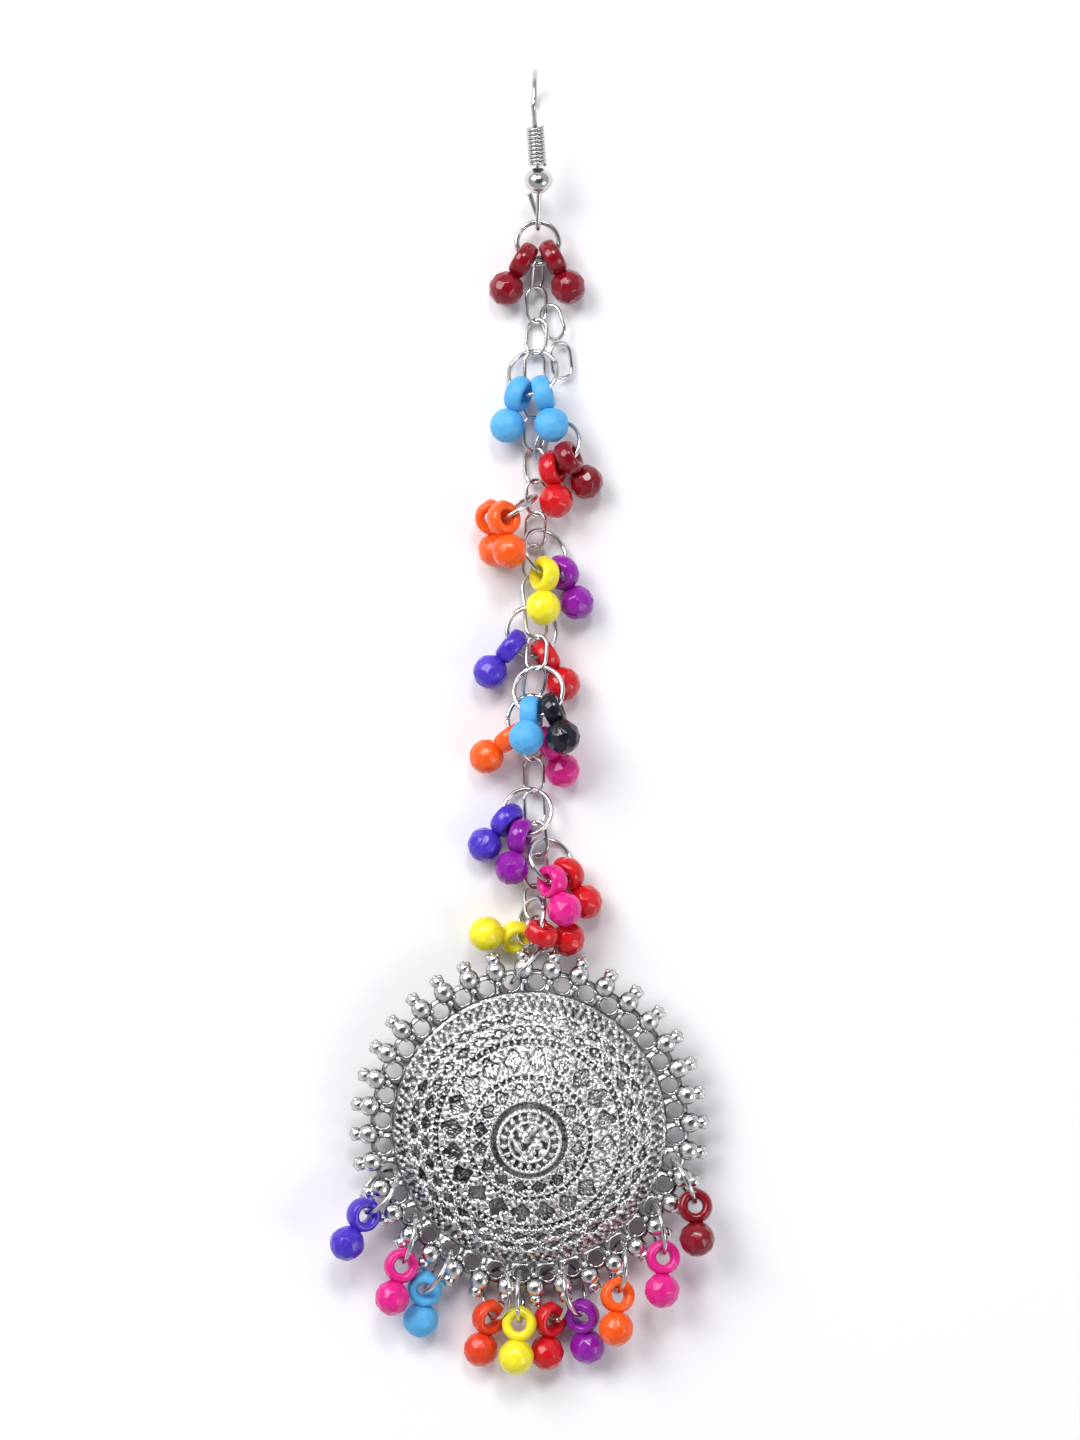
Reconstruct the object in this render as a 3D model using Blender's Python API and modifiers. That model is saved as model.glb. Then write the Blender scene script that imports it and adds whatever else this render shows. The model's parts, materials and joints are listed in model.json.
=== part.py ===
# A long chain earring lying on a flat surface: an ear wire with a coil and a bead, a curb chain whose
# jump rings carry faceted drops, and a cast, domed and pierced disc with ten more drops along its foot.
# Up is +Z, the surface is at z = 0, and the ear wire points along +Y.
import math

import bmesh
import bpy
import numpy as np
from mathutils import Matrix, Vector

for item in list(bpy.data.objects):
    bpy.data.objects.remove(item, do_unlink=True)

mm = 0.001
deg = math.pi / 180

# Jump rings and chain
RING_OUTER = 5.7 * mm
RING_WIRE = 0.5 * mm
TOP_RING_OUTER = 5.0 * mm
TOP_RING_WIRE = 0.56 * mm
LINK_LENGTH = 4.1 * mm
LINK_WIDTH = 2.7 * mm
LINK_WIRE = 0.4 * mm
LINK_ROLL = 26 * deg
FIRST_LINK_ROLL = 64 * deg
SOLDER = 0.12 * mm
RING_SIDES = 10
LINK_SIDES = 10
WIRE_SIDES = 5

# Drops: a faceted ball under a cast loop
BALL_DIAMETER = 3.7 * mm
LOOP_OUTER = 3.6 * mm
LOOP_HOLE = 1.5 * mm
LOOP_THICKNESS = 1.9 * mm
NECK_OVERLAP = 0.22 * mm
BEARING_GAP = 0.16 * mm
LOOP_SIDES = 10
LOOP_WALL_SIDES = 4
CLEARANCE = 0.09 * mm

# Cast disc
DISC_EDGE_RADIUS = 17.2 * mm
FLANGE_THICKNESS = 0.8 * mm
DOME_HEIGHT = 7.4 * mm
DOME_RADIUS = 14.4 * mm
DOME_WALL = 1.2 * mm
DISC_TILT = 3.4 * deg
HOLE_COUNT = 36
HOLE_DIAMETER = 1.6 * mm
HOLE_INSET = 1.8 * mm
HOLE_PHASE = 7 * deg
HOLE_BEARING = 200 * deg
END_RING_HEADING = 140 * deg
BIG_GRAIN_DIAMETER = 2.1 * mm
BIG_GRAIN_INSET = 0.3 * mm
SMALL_GRAIN_DIAMETER = 1.3 * mm
SMALL_GRAIN_OUTSET = 1.05 * mm
GRAIN_HEIGHT = 1.8 * mm
RIB_HEIGHT = 0.5 * mm

# Ear wire
HOOK_WIRE = 0.55 * mm
BOW_RADIUS = 3.5 * mm
COIL_WIRE = 0.38 * mm
COIL_OUTER = 1.95 * mm
COIL_TURNS = 10
COIL_SIDES = 6
BEAD_DIAMETER = 3.0 * mm
BEAD_LENGTH = 2.6 * mm
BEAD_SHOULDER = 60 * deg
BORE_GAP = 0.28 * mm
# Bends of the wire, from the top ring's upper wire: x, y and height
SHANK_LOW = Vector((0.1, 3.6, 1.9)) * mm
SHANK_TOP = Vector((-0.25, 8.9, 3.4)) * mm
BOW_MIDDLE = Vector((-0.4, 12.0, 0)) * mm
RETURN_END = Vector((-0.9, 2.6, 0.3)) * mm
FLOOR_GAP = 0.05 * mm

ring_radius = (RING_OUTER - RING_WIRE) / 2
top_ring_radius = (TOP_RING_OUTER - TOP_RING_WIRE) / 2
loop_radius = (LOOP_OUTER + LOOP_HOLE) / 4
loop_wall = (LOOP_OUTER - LOOP_HOLE) / 4
ball_radius = BALL_DIAMETER / 2
ball_reach = LOOP_OUTER / 2 + ball_radius - NECK_OVERLAP
hole_radius = DISC_EDGE_RADIUS - HOLE_INSET
big_grain_radius = DISC_EDGE_RADIUS - BIG_GRAIN_INSET
small_grain_radius = DISC_EDGE_RADIUS + SMALL_GRAIN_OUTSET

# The chain's way over the surface, between its two end rings: x, y and height of its middle line, in mm
CHAIN_ROUTE = (
    (0.9, 45.5, 1.2),
    (1.2, 43.0, 0.9),
    (0.8, 40.0, 0.9),
    (0.8, 36.4, 0.9),
    (0.7, 32.5, 0.8),
    (0.7, 28.7, 0.8),
    (0.9, 24.0, 1.0),
    (1.0, 20.0, 1.0),
    (0.4, 15.8, 0.9),
    (0.6, 12.5, 1.2),
    (1.0, 9.5, 2.6),
    (1.0, 6.3, 3.9),
    (0.6, 3.2, 3.0),
    (0.4, 0.4, 1.5),
    (0.6, -3.0, 0.9),
    (0.6, -6.6, 1.0),
    (0.8, -10.4, 0.8),
    (1.3, -13.6, 0.9),
    (0.7, -16.8, 1.0),
    (0.6, -19.8, 1.5),
)
# The chain's free tail, beside the second jump ring
TAIL_ROUTE = ((3.2, 40.3, 1.1), (3.6, 37.4, 1.0), (3.9, 35.3, 0.9))
TAIL_LINK = 1


parts = bpy.data.collections.new("jhumka_earring")
cutters = bpy.data.collections.new("cutters")
bpy.context.scene.collection.children.link(parts)
bpy.context.scene.collection.children.link(cutters)
earring = bpy.data.objects.new("earring", None)
parts.objects.link(earring)


def finish(name, colour, roughness, metallic):
    """One Principled material."""
    material = bpy.data.materials.new(name)
    material.use_nodes = True
    shader = material.node_tree.nodes["Principled BSDF"]
    shader.inputs["Base Color"].default_value = (*colour, 1)
    shader.inputs["Roughness"].default_value = roughness
    shader.inputs["Metallic"].default_value = metallic
    return material


def piece(name, mesh, material, matrix=None):
    """A sub-part from a mesh, placed by its matrix under the earring's empty."""
    body = bpy.data.objects.new(name, mesh)
    parts.objects.link(body)
    body.parent = earring
    if matrix is not None:
        body.matrix_local = matrix
    if not mesh.materials:
        mesh.materials.append(material)
    body.material_slots[0].link = "OBJECT"
    body.material_slots[0].material = material
    return body


def taken(shape):
    """The mesh that an object shows with its modifiers, with the object itself removed."""
    graph = bpy.context.evaluated_depsgraph_get()
    graph.update()
    mesh = bpy.data.meshes.new_from_object(shape.evaluated_get(graph))
    bm = bmesh.new()
    bm.from_mesh(mesh)
    bmesh.ops.remove_doubles(bm, verts=bm.verts, dist=0.002 * mm)
    bmesh.ops.transform(bm, matrix=shape.matrix_world, verts=bm.verts)
    bm.to_mesh(mesh)
    bm.free()
    bpy.data.objects.remove(shape)
    return mesh


def shape_of(mesh, hidden=True):
    """A plain object that holds a mesh; a hidden one is a cutter or a guide."""
    shape = bpy.data.objects.new("shape", mesh)
    cutters.objects.link(shape)
    shape.hide_render = hidden
    shape.display_type = "WIRE"
    return shape


def joined(meshes, matrices):
    """One mesh that holds every given mesh at its matrix."""
    bm = bmesh.new()
    for mesh, matrix in zip(meshes, matrices):
        start = len(bm.verts)
        bm.from_mesh(mesh)
        bm.verts.ensure_lookup_table()
        bmesh.ops.transform(bm, matrix=matrix, verts=bm.verts[start:])
    out = bpy.data.meshes.new("joined")
    bm.to_mesh(out)
    bm.free()
    return out


def combined(mesh, others, operation):
    """The mesh after a Boolean with each of the others in turn."""
    shape = shape_of(mesh)
    for other in others:
        tool = shape_of(other)
        cut = shape.modifiers.new("cut", "BOOLEAN")
        cut.operation = operation
        cut.object = tool
    tools = [cut.object for cut in shape.modifiers]
    result = taken(shape)
    for tool in tools:
        bpy.data.objects.remove(tool)
    return result


def without_slivers(mesh):
    """The mesh without the tiny sealed gaps that crossing wires leave between them."""
    bm = bmesh.new()
    bm.from_mesh(mesh)
    left = set(bm.verts)
    while left:
        body = {left.pop()}
        edge = set(body)
        while edge:
            edge = {e.other_vert(v) for v in edge for e in v.link_edges} - body
            body |= edge
        left -= body
        if max(v.co.z for v in body) - min(v.co.z for v in body) < LINK_WIRE:
            bmesh.ops.delete(bm, geom=list(body), context="VERTS")
    bm.to_mesh(mesh)
    bm.free()
    return mesh


def torus(radius, thickness, sides, wire_sides, stretch=0.0, depth=1.0):
    """A round ring in the XY plane; stretch pulls its two halves apart along Y, depth scales its height."""
    polygon = radius / math.sqrt(math.cos(math.pi / sides))
    bpy.ops.mesh.primitive_torus_add(
        major_radius=polygon, minor_radius=thickness / 2, major_segments=sides, minor_segments=wire_sides
    )
    shape = bpy.context.object
    for vertex in shape.data.vertices:
        if abs(vertex.co.y) > radius / 100:
            vertex.co.y += math.copysign(stretch / 2, vertex.co.y)
        vertex.co.z *= depth
    return taken(shape)


def axes_matrix(x, y, z, origin):
    """A placing whose columns are three unit vectors and an origin."""
    matrix = Matrix((x, y, z)).transposed().to_4x4()
    matrix.translation = origin
    return matrix


def ring_axes(heading, pitch, lean):
    """Heading is the ring's way from its bearing to its drops, from -Y towards +X, pitch its rise, and
    lean turns the ring about that way: 0 is on edge and 90 degrees flat. Returns the way, the ring's
    other axis in its plane, and its normal."""
    way = Vector((math.sin(heading) * math.cos(pitch), -math.cos(heading) * math.cos(pitch), math.sin(pitch)))
    side = Vector((math.cos(heading), math.sin(heading), 0))
    other = way.cross(side) * math.cos(lean) + side * math.sin(lean)
    return way, other, way.cross(other)


class Ring:
    """A round ring of wire: centre, axes and sizes."""

    def __init__(self, centre, axes, radius=ring_radius, wire=RING_WIRE):
        self.centre = Vector(centre)
        self.way, self.other, self.normal = axes
        self.radius = radius
        self.wire = wire
        self.held = None
        self.bearing = 0.0
        self.turns = np.zeros(3)
        self.drops = []

    def hang(self, held, bearing, heading, pitch, lean):
        """Turns the ring about the point where a link holds it, which lies at the bearing angle on it."""
        self.held = held
        self.bearing = bearing
        self.turns = np.array((heading, pitch, lean))
        self.way, self.other, self.normal = ring_axes(heading, pitch, lean)
        self.centre = held - self.radius * (math.cos(bearing) * self.way + math.sin(bearing) * self.other)

    def at(self, angle):
        return self.centre + self.radius * (math.cos(angle) * self.way + math.sin(angle) * self.other)

    def points(self, count=48):
        return np.array([self.at(2 * math.pi * i / count) for i in range(count)])

    def matrix(self):
        return axes_matrix(self.way, self.other, self.normal, self.centre)


def curve_points(route, count):
    """Points at even steps along the smooth curve through a route's own points."""
    p = np.array(route) * mm
    p = np.vstack((2 * p[0] - p[1], p, 2 * p[-1] - p[-2]))
    t = np.linspace(0, 1, 40, endpoint=False)[:, None]
    runs = []
    for a, b, c, d in zip(p, p[1:], p[2:], p[3:]):
        runs.append(0.5 * (2 * b + (c - a) * t + (2 * a - 5 * b + 4 * c - d) * t**2 + (3 * b - a - 3 * c + d) * t**3))
    line = np.vstack(runs + [p[-2]])
    length = np.append(0, np.cumsum(np.linalg.norm(np.diff(line, axis=0), axis=1)))
    steps = np.linspace(0, length[-1], count)
    return np.column_stack([np.interp(steps, length, line[:, i]) for i in range(3)]), length[-1]


def link_matrices(route, first_roll):
    """Links along a route, each turned about its length the other way from the last."""
    full = curve_points(route, 2)[1]
    pitch = LINK_LENGTH - 2 * LINK_WIRE + SOLDER
    count = max(2, round((full - LINK_LENGTH) / pitch) + 1)
    ends, full = curve_points(route, 400)
    run = full / 399
    matrices = []
    for i in range(count):
        middle = (LINK_LENGTH / 2 + i * pitch) * full / (LINK_LENGTH + (count - 1) * pitch)
        low = ends[min(398, int(middle / run - LINK_LENGTH / 2 / run) if middle > LINK_LENGTH / 2 else 0)]
        high = ends[min(399, int(middle / run + LINK_LENGTH / 2 / run))]
        centre = Vector((low + high) / 2)
        along = Vector(low - high).normalized()
        flat = along.cross(Vector((0, 0, 1))).normalized()
        roll = (LINK_ROLL if i % 2 else -LINK_ROLL) if i else first_roll
        wide = Matrix.Rotation(roll, 3, along) @ flat
        matrices.append(axes_matrix(wide, along, wide.cross(along), centre))
    return matrices


link_radius = (LINK_WIDTH - LINK_WIRE) / 2
link_mesh = torus(link_radius, LINK_WIRE, LINK_SIDES, WIRE_SIDES, stretch=LINK_LENGTH - LINK_WIDTH)


def link_points(matrix, count=40):
    """Points along the middle of a link's wire."""
    t = np.arange(count) * 2 * math.pi / count
    x = link_radius * np.cos(t)
    y = link_radius * np.sin(t) + np.sign(np.round(np.sin(t), 6)) * (LINK_LENGTH - LINK_WIDTH) / 2
    local = np.column_stack((x, y, 0 * t))
    turn = np.array(matrix.to_3x3())
    return local @ turn.T + np.array(matrix.translation)


# Disc placing: it hangs by its upper edge, tipped about X so that this edge is the higher
DISC_TOP = Vector((0.2, -25.63, 3.32)) * mm
disc_x = Vector((1, 0, 0))
disc_y = Vector((0, math.cos(DISC_TILT), math.sin(DISC_TILT)))
disc_z = disc_x.cross(disc_y)
disc_centre = DISC_TOP - DISC_EDGE_RADIUS * disc_y
disc_matrix = axes_matrix(disc_x, disc_y, disc_z, disc_centre)


def on_disc(radius, angle, height):
    """A point of the disc: the angle runs from its top towards -X, the height from its back plane."""
    return disc_centre - radius * math.sin(angle) * disc_x + radius * math.cos(angle) * disc_y + height * disc_z


# The back is flat, so the rim's grains stand on it
grain_level = GRAIN_HEIGHT / 2 + 0.05 * mm


def hole_centre(index):
    angle = HOLE_PHASE + index * 2 * math.pi / HOLE_COUNT
    return on_disc(hole_radius, angle, FLANGE_THICKNESS / 2)


rings = {}
TOP_RING_PLACE = Vector((1.1, 50.0, 2.25)) * mm
rings["top"] = Ring(TOP_RING_PLACE, ring_axes(0, 0, 90 * deg), top_ring_radius, TOP_RING_WIRE)
rings["top"].held = rings["top"].at(0)
rings["end"] = Ring((0, 0, 0), ring_axes(END_RING_HEADING, 0, 0))
end_height = ring_radius + RING_WIRE / 2
end_bearing = math.asin((hole_centre(0).z - end_height) / ring_radius)
rings["end"].hang(hole_centre(0), math.pi - end_bearing, END_RING_HEADING, 0, 0)


def chain_end(route_point, ring_point, wire):
    """Where the chain's outer end lies when its last link holds a ring's wire."""
    way = (ring_point - Vector(route_point) * mm).normalized()
    return tuple((ring_point + way * (wire / 2 + LINK_WIRE + BEARING_GAP)) / mm)


chain_start = chain_end(CHAIN_ROUTE[0], rings["top"].at(0), TOP_RING_WIRE)
chain_foot = chain_end(CHAIN_ROUTE[-1], rings["end"].at(-end_bearing), RING_WIRE)
full_route = (chain_start,) + CHAIN_ROUTE + (chain_foot,)
chain_links = link_matrices(full_route, FIRST_LINK_ROLL)
tail_hold = chain_links[TAIL_LINK].translation + chain_links[TAIL_LINK].to_3x3().col[0] * link_radius
tail_way = (Vector(TAIL_ROUTE[0]) * mm - tail_hold).normalized()
tail_start = tuple((tail_hold - tail_way * (1.5 * LINK_WIRE - SOLDER)) / mm)
tail_links = link_matrices((tail_start,) + TAIL_ROUTE, -LINK_ROLL)
wires = np.vstack([link_points(m) for m in chain_links + tail_links])

# Jump rings of the chain: the link that holds the ring, counted from the top, and that link's side, -1 and 1
# for its side wires and 0 for its foot; then the ring's angle there, its heading, pitch and lean, in degrees
CHAIN_RINGS = {
    "b": (2, 0, 180, -6, 25, 76),
    "c": (5, 1, 180, 52, 34, 90),
    "d": (7, -1, 210, -58, 9, 10),
    "e": (8, 1, 210, 31, 5, -47),
    "f": (10, 0, 180, -6, 6, 98),
    "g": (12, 0, 180, 6, 12, 80),
    "h": (13, 0, 180, 0, 10, 91),
    "i": (16, 0, 180, -16, 19, 76),
    "j": (18, 1, 190, 26, 14, -48),
    "k": (20, -1, 190, 3, 34, 32),
}

# Drops of the top ring and the chain's rings: ring, the drop's angle on it and its swing out of the ring's
# plane in degrees, how far from the ring's hold its loop and its ball lie in plan in mm, and its colour
CHAIN_DROPS = (
    ("top", -31, -4, (-1.6, -0.38), (-3.4, -2.78), "wine"),
    ("top", 29, -4, (1.4, -0.48), (3.2, -3.08), "wine"),
    ("b", -30, 0, (-1.43, -5.25), (-2.43, -8.45), "sky"),
    ("b", 29, 0, (1.07, -5.15), (1.67, -8.25), "sky"),
    ("c", -18, -50, (2.15, -3.1), (3.55, -5.3), "wine"),
    ("c", -70, -20, (-0.15, -3.8), (0.15, -6.7), "red"),
    ("d", 30, -38, (-2.3, -2.3), (-2.0, -5.8), "orange"),
    ("d", -22, -38, (-3.4, -1.5), (-3.4, -4.9), "orange"),
    ("e", 32, 24, (1.62, -6.09), (1.42, -9.69), "yellow"),
    ("e", -22, 0, (2.12, -5.19), (3.22, -7.99), "purple"),
    ("f", -28, 0, (-1.42, -3.88), (-1.72, -7.28), "violet"),
    ("f", 68, -30, (1.78, -3.08), (2.58, -4.98), "red"),
    ("g", -29, 12, (-1.78, -4.19), (-2.68, -7.39), "sky"),
    ("g", 27, 12, (0.72, -4.69), (1.12, -7.99), "black"),
    ("h", -38, -30, (-1.14, -6.26), (-3.24, -8.86), "orange"),
    ("h", 34, -30, (2.06, -6.46), (3.56, -9.36), "pink"),
    ("i", -42, -5, (-2.94, -3.02), (-4.34, -5.32), "violet"),
    ("i", 8, -5, (-1.14, -4.22), (-1.54, -7.72), "purple"),
    ("j", 32, 0, (1.37, -4.47), (1.77, -7.67), "pink"),
    ("j", -30, 0, (2.77, -3.97), (3.07, -6.67), "red"),
    ("k", -50, 60, (-0.83, -4.85), (-2.53, -3.45), "yellow"),
    ("k", 45, -75, (1.97, -3.45), (5.17, -3.85), "red"),
)

# Drop rings of the disc: hole, heading and lean, and how far from the hole the loop and the ball of the drop
# lie in plan in mm, and its colour
DISC_DROPS = (
    (10, -32, 34, (-2.97, -4.48), (-3.07, -7.58), "violet"),
    (12, -20, 5, (-1.9, -5.02), (-2.1, -8.32), "pink"),
    (14, -36, 0, (-2.71, -3.78), (-3.01, -6.78), "sky"),
    (16, -6, 29, (-0.94, -5.3), (-1.24, -8.4), "ember"),
    (17, -2, -12, (-0.09, -5.12), (-0.49, -8.72), "yellow"),
    (18, 4, 25, (0.52, -5.22), (0.52, -8.42), "red"),
    (19, 9, 0, (1.0, -5.48), (1.6, -8.68), "purple"),
    (21, 2, 28, (0.03, -5.8), (0.23, -9.1), "orange"),
    (23, 9, 0, (0.58, -5.0), (0.68, -8.7), "pink"),
    (25, 24, 0, (2.19, -5.52), (2.39, -9.02), "wine"),
)

DROP_COLOURS = {
    "wine": ((0.35, 0.01, 0.02), 0.2),
    "sky": ((0.18, 0.58, 0.93), 0.55),
    "red": ((0.68, 0.01, 0.02), 0.2),
    "orange": ((1.0, 0.13, 0.01), 0.25),
    "ember": ((0.82, 0.06, 0.02), 0.25),
    "yellow": ((0.9, 0.85, 0.02), 0.25),
    "purple": ((0.3, 0.01, 0.4), 0.2),
    "violet": ((0.08, 0.04, 0.58), 0.25),
    "black": ((0.01, 0.015, 0.025), 0.15),
    "pink": ((0.8, 0.02, 0.27), 0.25),
}

grip = (RING_WIRE + LINK_WIRE) / 2 - SOLDER
for name, (link_number, side, bearing, heading, pitch, lean) in CHAIN_RINGS.items():
    link = chain_links[link_number]
    wide, along = (link.to_3x3().col[i] for i in (0, 1))
    if side:
        held = link.translation + wide * math.copysign(link_radius - grip, side * wide.x)
    else:
        held = link.translation - along * ((LINK_LENGTH - LINK_WIRE) / 2 - grip)
    ring = Ring((0, 0, 0), ring_axes(heading * deg, pitch * deg, lean * deg))
    ring.hang(held, bearing * deg, heading * deg, pitch * deg, lean * deg)
    rings[name] = ring

for number, (hole, heading, lean, loop, ball, colour) in enumerate(DISC_DROPS, 1):
    ring = Ring((0, 0, 0), ring_axes(heading * deg, 0, lean * deg))
    ring.hang(hole_centre(hole), HOLE_BEARING, heading * deg, 0, lean * deg)
    rings[f"drop_{number:02d}"] = ring

around = np.arange(12) * math.pi / 6
row_offset = (LOOP_THICKNESS / 2 - loop_wall) * 0.9
DROP_SHAPE = np.vstack(
    [(ball_reach, 0, 0)]
    + [(loop_radius * math.cos(t), loop_radius * math.sin(t), z) for z in (-row_offset, row_offset) for t in around]
)
DROP_SIZES = np.append(ball_radius, np.full(24, loop_wall))


# How far a loop hangs off its ring's wire, in mm
PULL_LIMIT = 0.36


class Drop:
    """A drop on a ring: where its loop sits, which way its ball points, and how far the loop is pulled."""

    def __init__(self, ring, place, swing, loop, ball, colour):
        self.ring = ring
        self.values = np.array((place * deg, place * 0.6 * deg, swing * deg, PULL_LIMIT))
        self.loop = np.array(ring.held)[:2] + np.array(loop) * mm
        self.ball = np.array(ring.held)[:2] + np.array(ball) * mm
        self.colour = colour
        ring.drops.append(self)

    def axes(self, values):
        place, fan, swing, pull = (float(value) for value in values)
        ring = self.ring
        flat = math.cos(fan) * ring.way + math.sin(fan) * ring.other
        ball_way = math.cos(swing) * flat + math.sin(swing) * ring.normal
        axis = -math.sin(fan) * ring.way + math.cos(fan) * ring.other
        return ring.at(place) + pull * mm * ball_way, ball_way, axis

    def spheres(self, values=None):
        """Middles of the balls that stand for the drop: its ball, then two rows round its loop."""
        loop, ball_way, axis = self.axes(self.values if values is None else values)
        basis = np.array((ball_way, axis.cross(ball_way), axis))
        return np.array(loop) + DROP_SHAPE @ basis

    def matrix(self):
        loop, ball_way, axis = self.axes(self.values)
        return axes_matrix(axis.cross(ball_way), -ball_way, axis, loop)


drops = {}
for number, (ring_name, place, swing, loop, ball, colour) in enumerate(CHAIN_DROPS, 1):
    drops[f"chain_charm_{number:02d}"] = Drop(rings[ring_name], place, swing, loop, ball, colour)
for number, (hole, heading, lean, loop, ball, colour) in enumerate(DISC_DROPS, 1):
    drops[f"drop_charm_{number:02d}"] = Drop(rings[f"drop_{number:02d}"], -8, 0, loop, ball, colour)

# What the drops keep clear of: every wire, and the disc as balls along its rim
obstacles = []
for i in range(HOLE_COUNT):
    turn = HOLE_PHASE + (i + 0.5) * 2 * math.pi / HOLE_COUNT
    middle = FLANGE_THICKNESS / 2
    obstacles.append((np.array(on_disc(big_grain_radius, turn, grain_level)), BIG_GRAIN_DIAMETER / 2))
    obstacles.append((np.array(on_disc(small_grain_radius, turn, grain_level)), SMALL_GRAIN_DIAMETER / 2))
    obstacles.append((np.array(on_disc(hole_radius, turn, middle)), FLANGE_THICKNESS / 2))
    obstacles.append((np.array(on_disc(DISC_EDGE_RADIUS - 0.4 * mm, turn + 5 * deg, middle)), 0.5 * mm))
    obstacles.append((np.array(on_disc(DOME_RADIUS - 0.4 * mm, turn, 1.0 * mm)), 0.8 * mm))
disc_points = np.array([p for p, r in obstacles])
disc_sizes = np.array([r for p, r in obstacles])
still_points = np.vstack((wires, disc_points))
still_sizes = np.append(np.full(len(wires), LINK_WIRE / 2), disc_sizes)

# How the settling weighs overlap with a neighbour or the surface, a ball's height, how far a drop is from
# its place in plan, and a tilt past what the loop's hole allows
REACH = 9 * mm
WIRE_POINTS = 36
OVERLAP_WEIGHT = 300
HEIGHT_WEIGHT = 0.35
PLACE_WEIGHT = 0.25
TILT_WEIGHT = 100
TILT_LIMIT = 20 * deg
DROP_STEPS = np.array((6 * deg, 6 * deg, 8 * deg, 0.1))
RING_STEPS = np.array((5 * deg, 5 * deg, 6 * deg))


def strain(drop, values, points, sizes):
    """How badly a drop overlaps its neighbours and the surface, plus a little for its height and for how
    far its loop and ball are from their places."""
    mine = drop.spheres(values)
    gaps = np.linalg.norm(mine[:, None] - points[None], axis=2) - DROP_SIZES[:, None] - sizes[None] - CLEARANCE
    overlap = np.minimum(gaps, 0) / mm
    sunk = np.minimum(mine[:, 2] - DROP_SIZES, 0) / mm
    loop = mine[1:].mean(axis=0)
    off = ((mine[0, :2] - drop.ball) ** 2).sum() + 0.5 * ((loop[:2] - drop.loop) ** 2).sum()
    over = max(0.0, abs(values[0] - values[1]) - TILT_LIMIT)
    cost = OVERLAP_WEIGHT * ((overlap**2).sum() + (sunk**2).sum()) + HEIGHT_WEIGHT * mine[0, 2] / mm
    return cost + PLACE_WEIGHT * off / mm**2 + TILT_WEIGHT * over**2


def ring_strain(ring, points, sizes):
    """The same for a ring's wire against the drops of the other rings."""
    mine = ring.points()
    gaps = np.linalg.norm(mine[:, None] - points[None], axis=2) - ring.wire / 2 - sizes[None] - CLEARANCE
    sunk = np.minimum(mine[:, 2] - ring.wire / 2, 0) / mm
    return OVERLAP_WEIGHT * ((np.minimum(gaps, 0) ** 2).sum() / mm**2 + (sunk**2).sum())


def near(place, skip_ring, skip_drops):
    """Every ball within reach of a place, but for one ring's wire and some drops."""
    points = [still_points]
    sizes = [still_sizes]
    for other in rings.values():
        if other is not skip_ring:
            points.append(other.points(WIRE_POINTS))
            sizes.append(np.full(WIRE_POINTS, other.wire / 2))
    for other in drops.values():
        if other not in skip_drops:
            points.append(other.spheres())
            sizes.append(DROP_SIZES)
    points = np.vstack(points)
    sizes = np.concatenate(sizes)
    close = np.linalg.norm(points - place, axis=1) < REACH
    return points[close], sizes[close]


for name, ring in rings.items():
    ring.name = name

SWEEPS = 30
# A ring that rises or leans further than this would touch the wall of its hole
PITCH_LIMIT = 6 * deg
LEAN_LIMIT = 36 * deg
for sweep in range(SWEEPS):
    scale = 1.0 / (1 + sweep / 5)
    for ring in rings.values():
        if not ring.name.startswith("drop"):
            continue
        points, sizes = near(np.array(ring.centre), ring, ring.drops)
        foreign = [d for d in drops.values() if d not in ring.drops]
        wire_points = np.vstack([d.spheres() for d in foreign] + [disc_points])
        wire_sizes = np.concatenate([DROP_SIZES for d in foreign] + [disc_sizes])
        separate = [r for r in rings.values() if r is not ring]
        wire_points = np.vstack([wire_points] + [r.points(WIRE_POINTS) for r in separate])
        wire_sizes = np.concatenate([wire_sizes] + [np.full(WIRE_POINTS, r.wire / 2) for r in separate])
        close = np.linalg.norm(wire_points - np.array(ring.centre), axis=1) < REACH

        def whole(values):
            ring.hang(ring.held, ring.bearing, *values)
            own = np.vstack((points, ring.points(WIRE_POINTS)))
            own_sizes = np.append(sizes, np.full(WIRE_POINTS, ring.wire / 2))
            total = ring_strain(ring, wire_points[close], wire_sizes[close])
            for drop in ring.drops:
                total += strain(drop, drop.values, own, own_sizes)
            return total

        best_values = ring.turns
        best = whole(best_values)
        for axis in range(3):
            for sign in (1, -1):
                trial = best_values.copy()
                trial[axis] += sign * scale * RING_STEPS[axis]
                trial[1] = min(PITCH_LIMIT, max(-PITCH_LIMIT, trial[1]))
                trial[2] = min(LEAN_LIMIT, max(-LEAN_LIMIT, trial[2]))
                result = whole(trial)
                if result < best:
                    best = result
                    best_values = trial
        ring.hang(ring.held, ring.bearing, *best_values)
    for drop in drops.values():
        points, sizes = near(drop.spheres().mean(axis=0), None, [drop])
        best = strain(drop, drop.values, points, sizes)
        for axis in range(4):
            for sign in (1, -1):
                trial = drop.values.copy()
                trial[axis] += sign * scale * DROP_STEPS[axis]
                trial[3] = min(PULL_LIMIT, max(-PULL_LIMIT, trial[3]))
                result = strain(drop, trial, points, sizes)
                if result < best:
                    best = result
                    drop.values = trial

steel = finish("steel", (0.62, 0.6, 0.58), 0.2, 1.0)
plating = finish("plating", (0.7, 0.69, 0.67), 0.16, 1.0)
antique = finish("antique_silver", (0.55, 0.55, 0.56), 0.28, 1.0)
drop_finishes = {}
for colour, (tint, roughness) in DROP_COLOURS.items():
    drop_finishes[colour] = finish(f"drop_{colour}", tint, roughness, 0.0)

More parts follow.
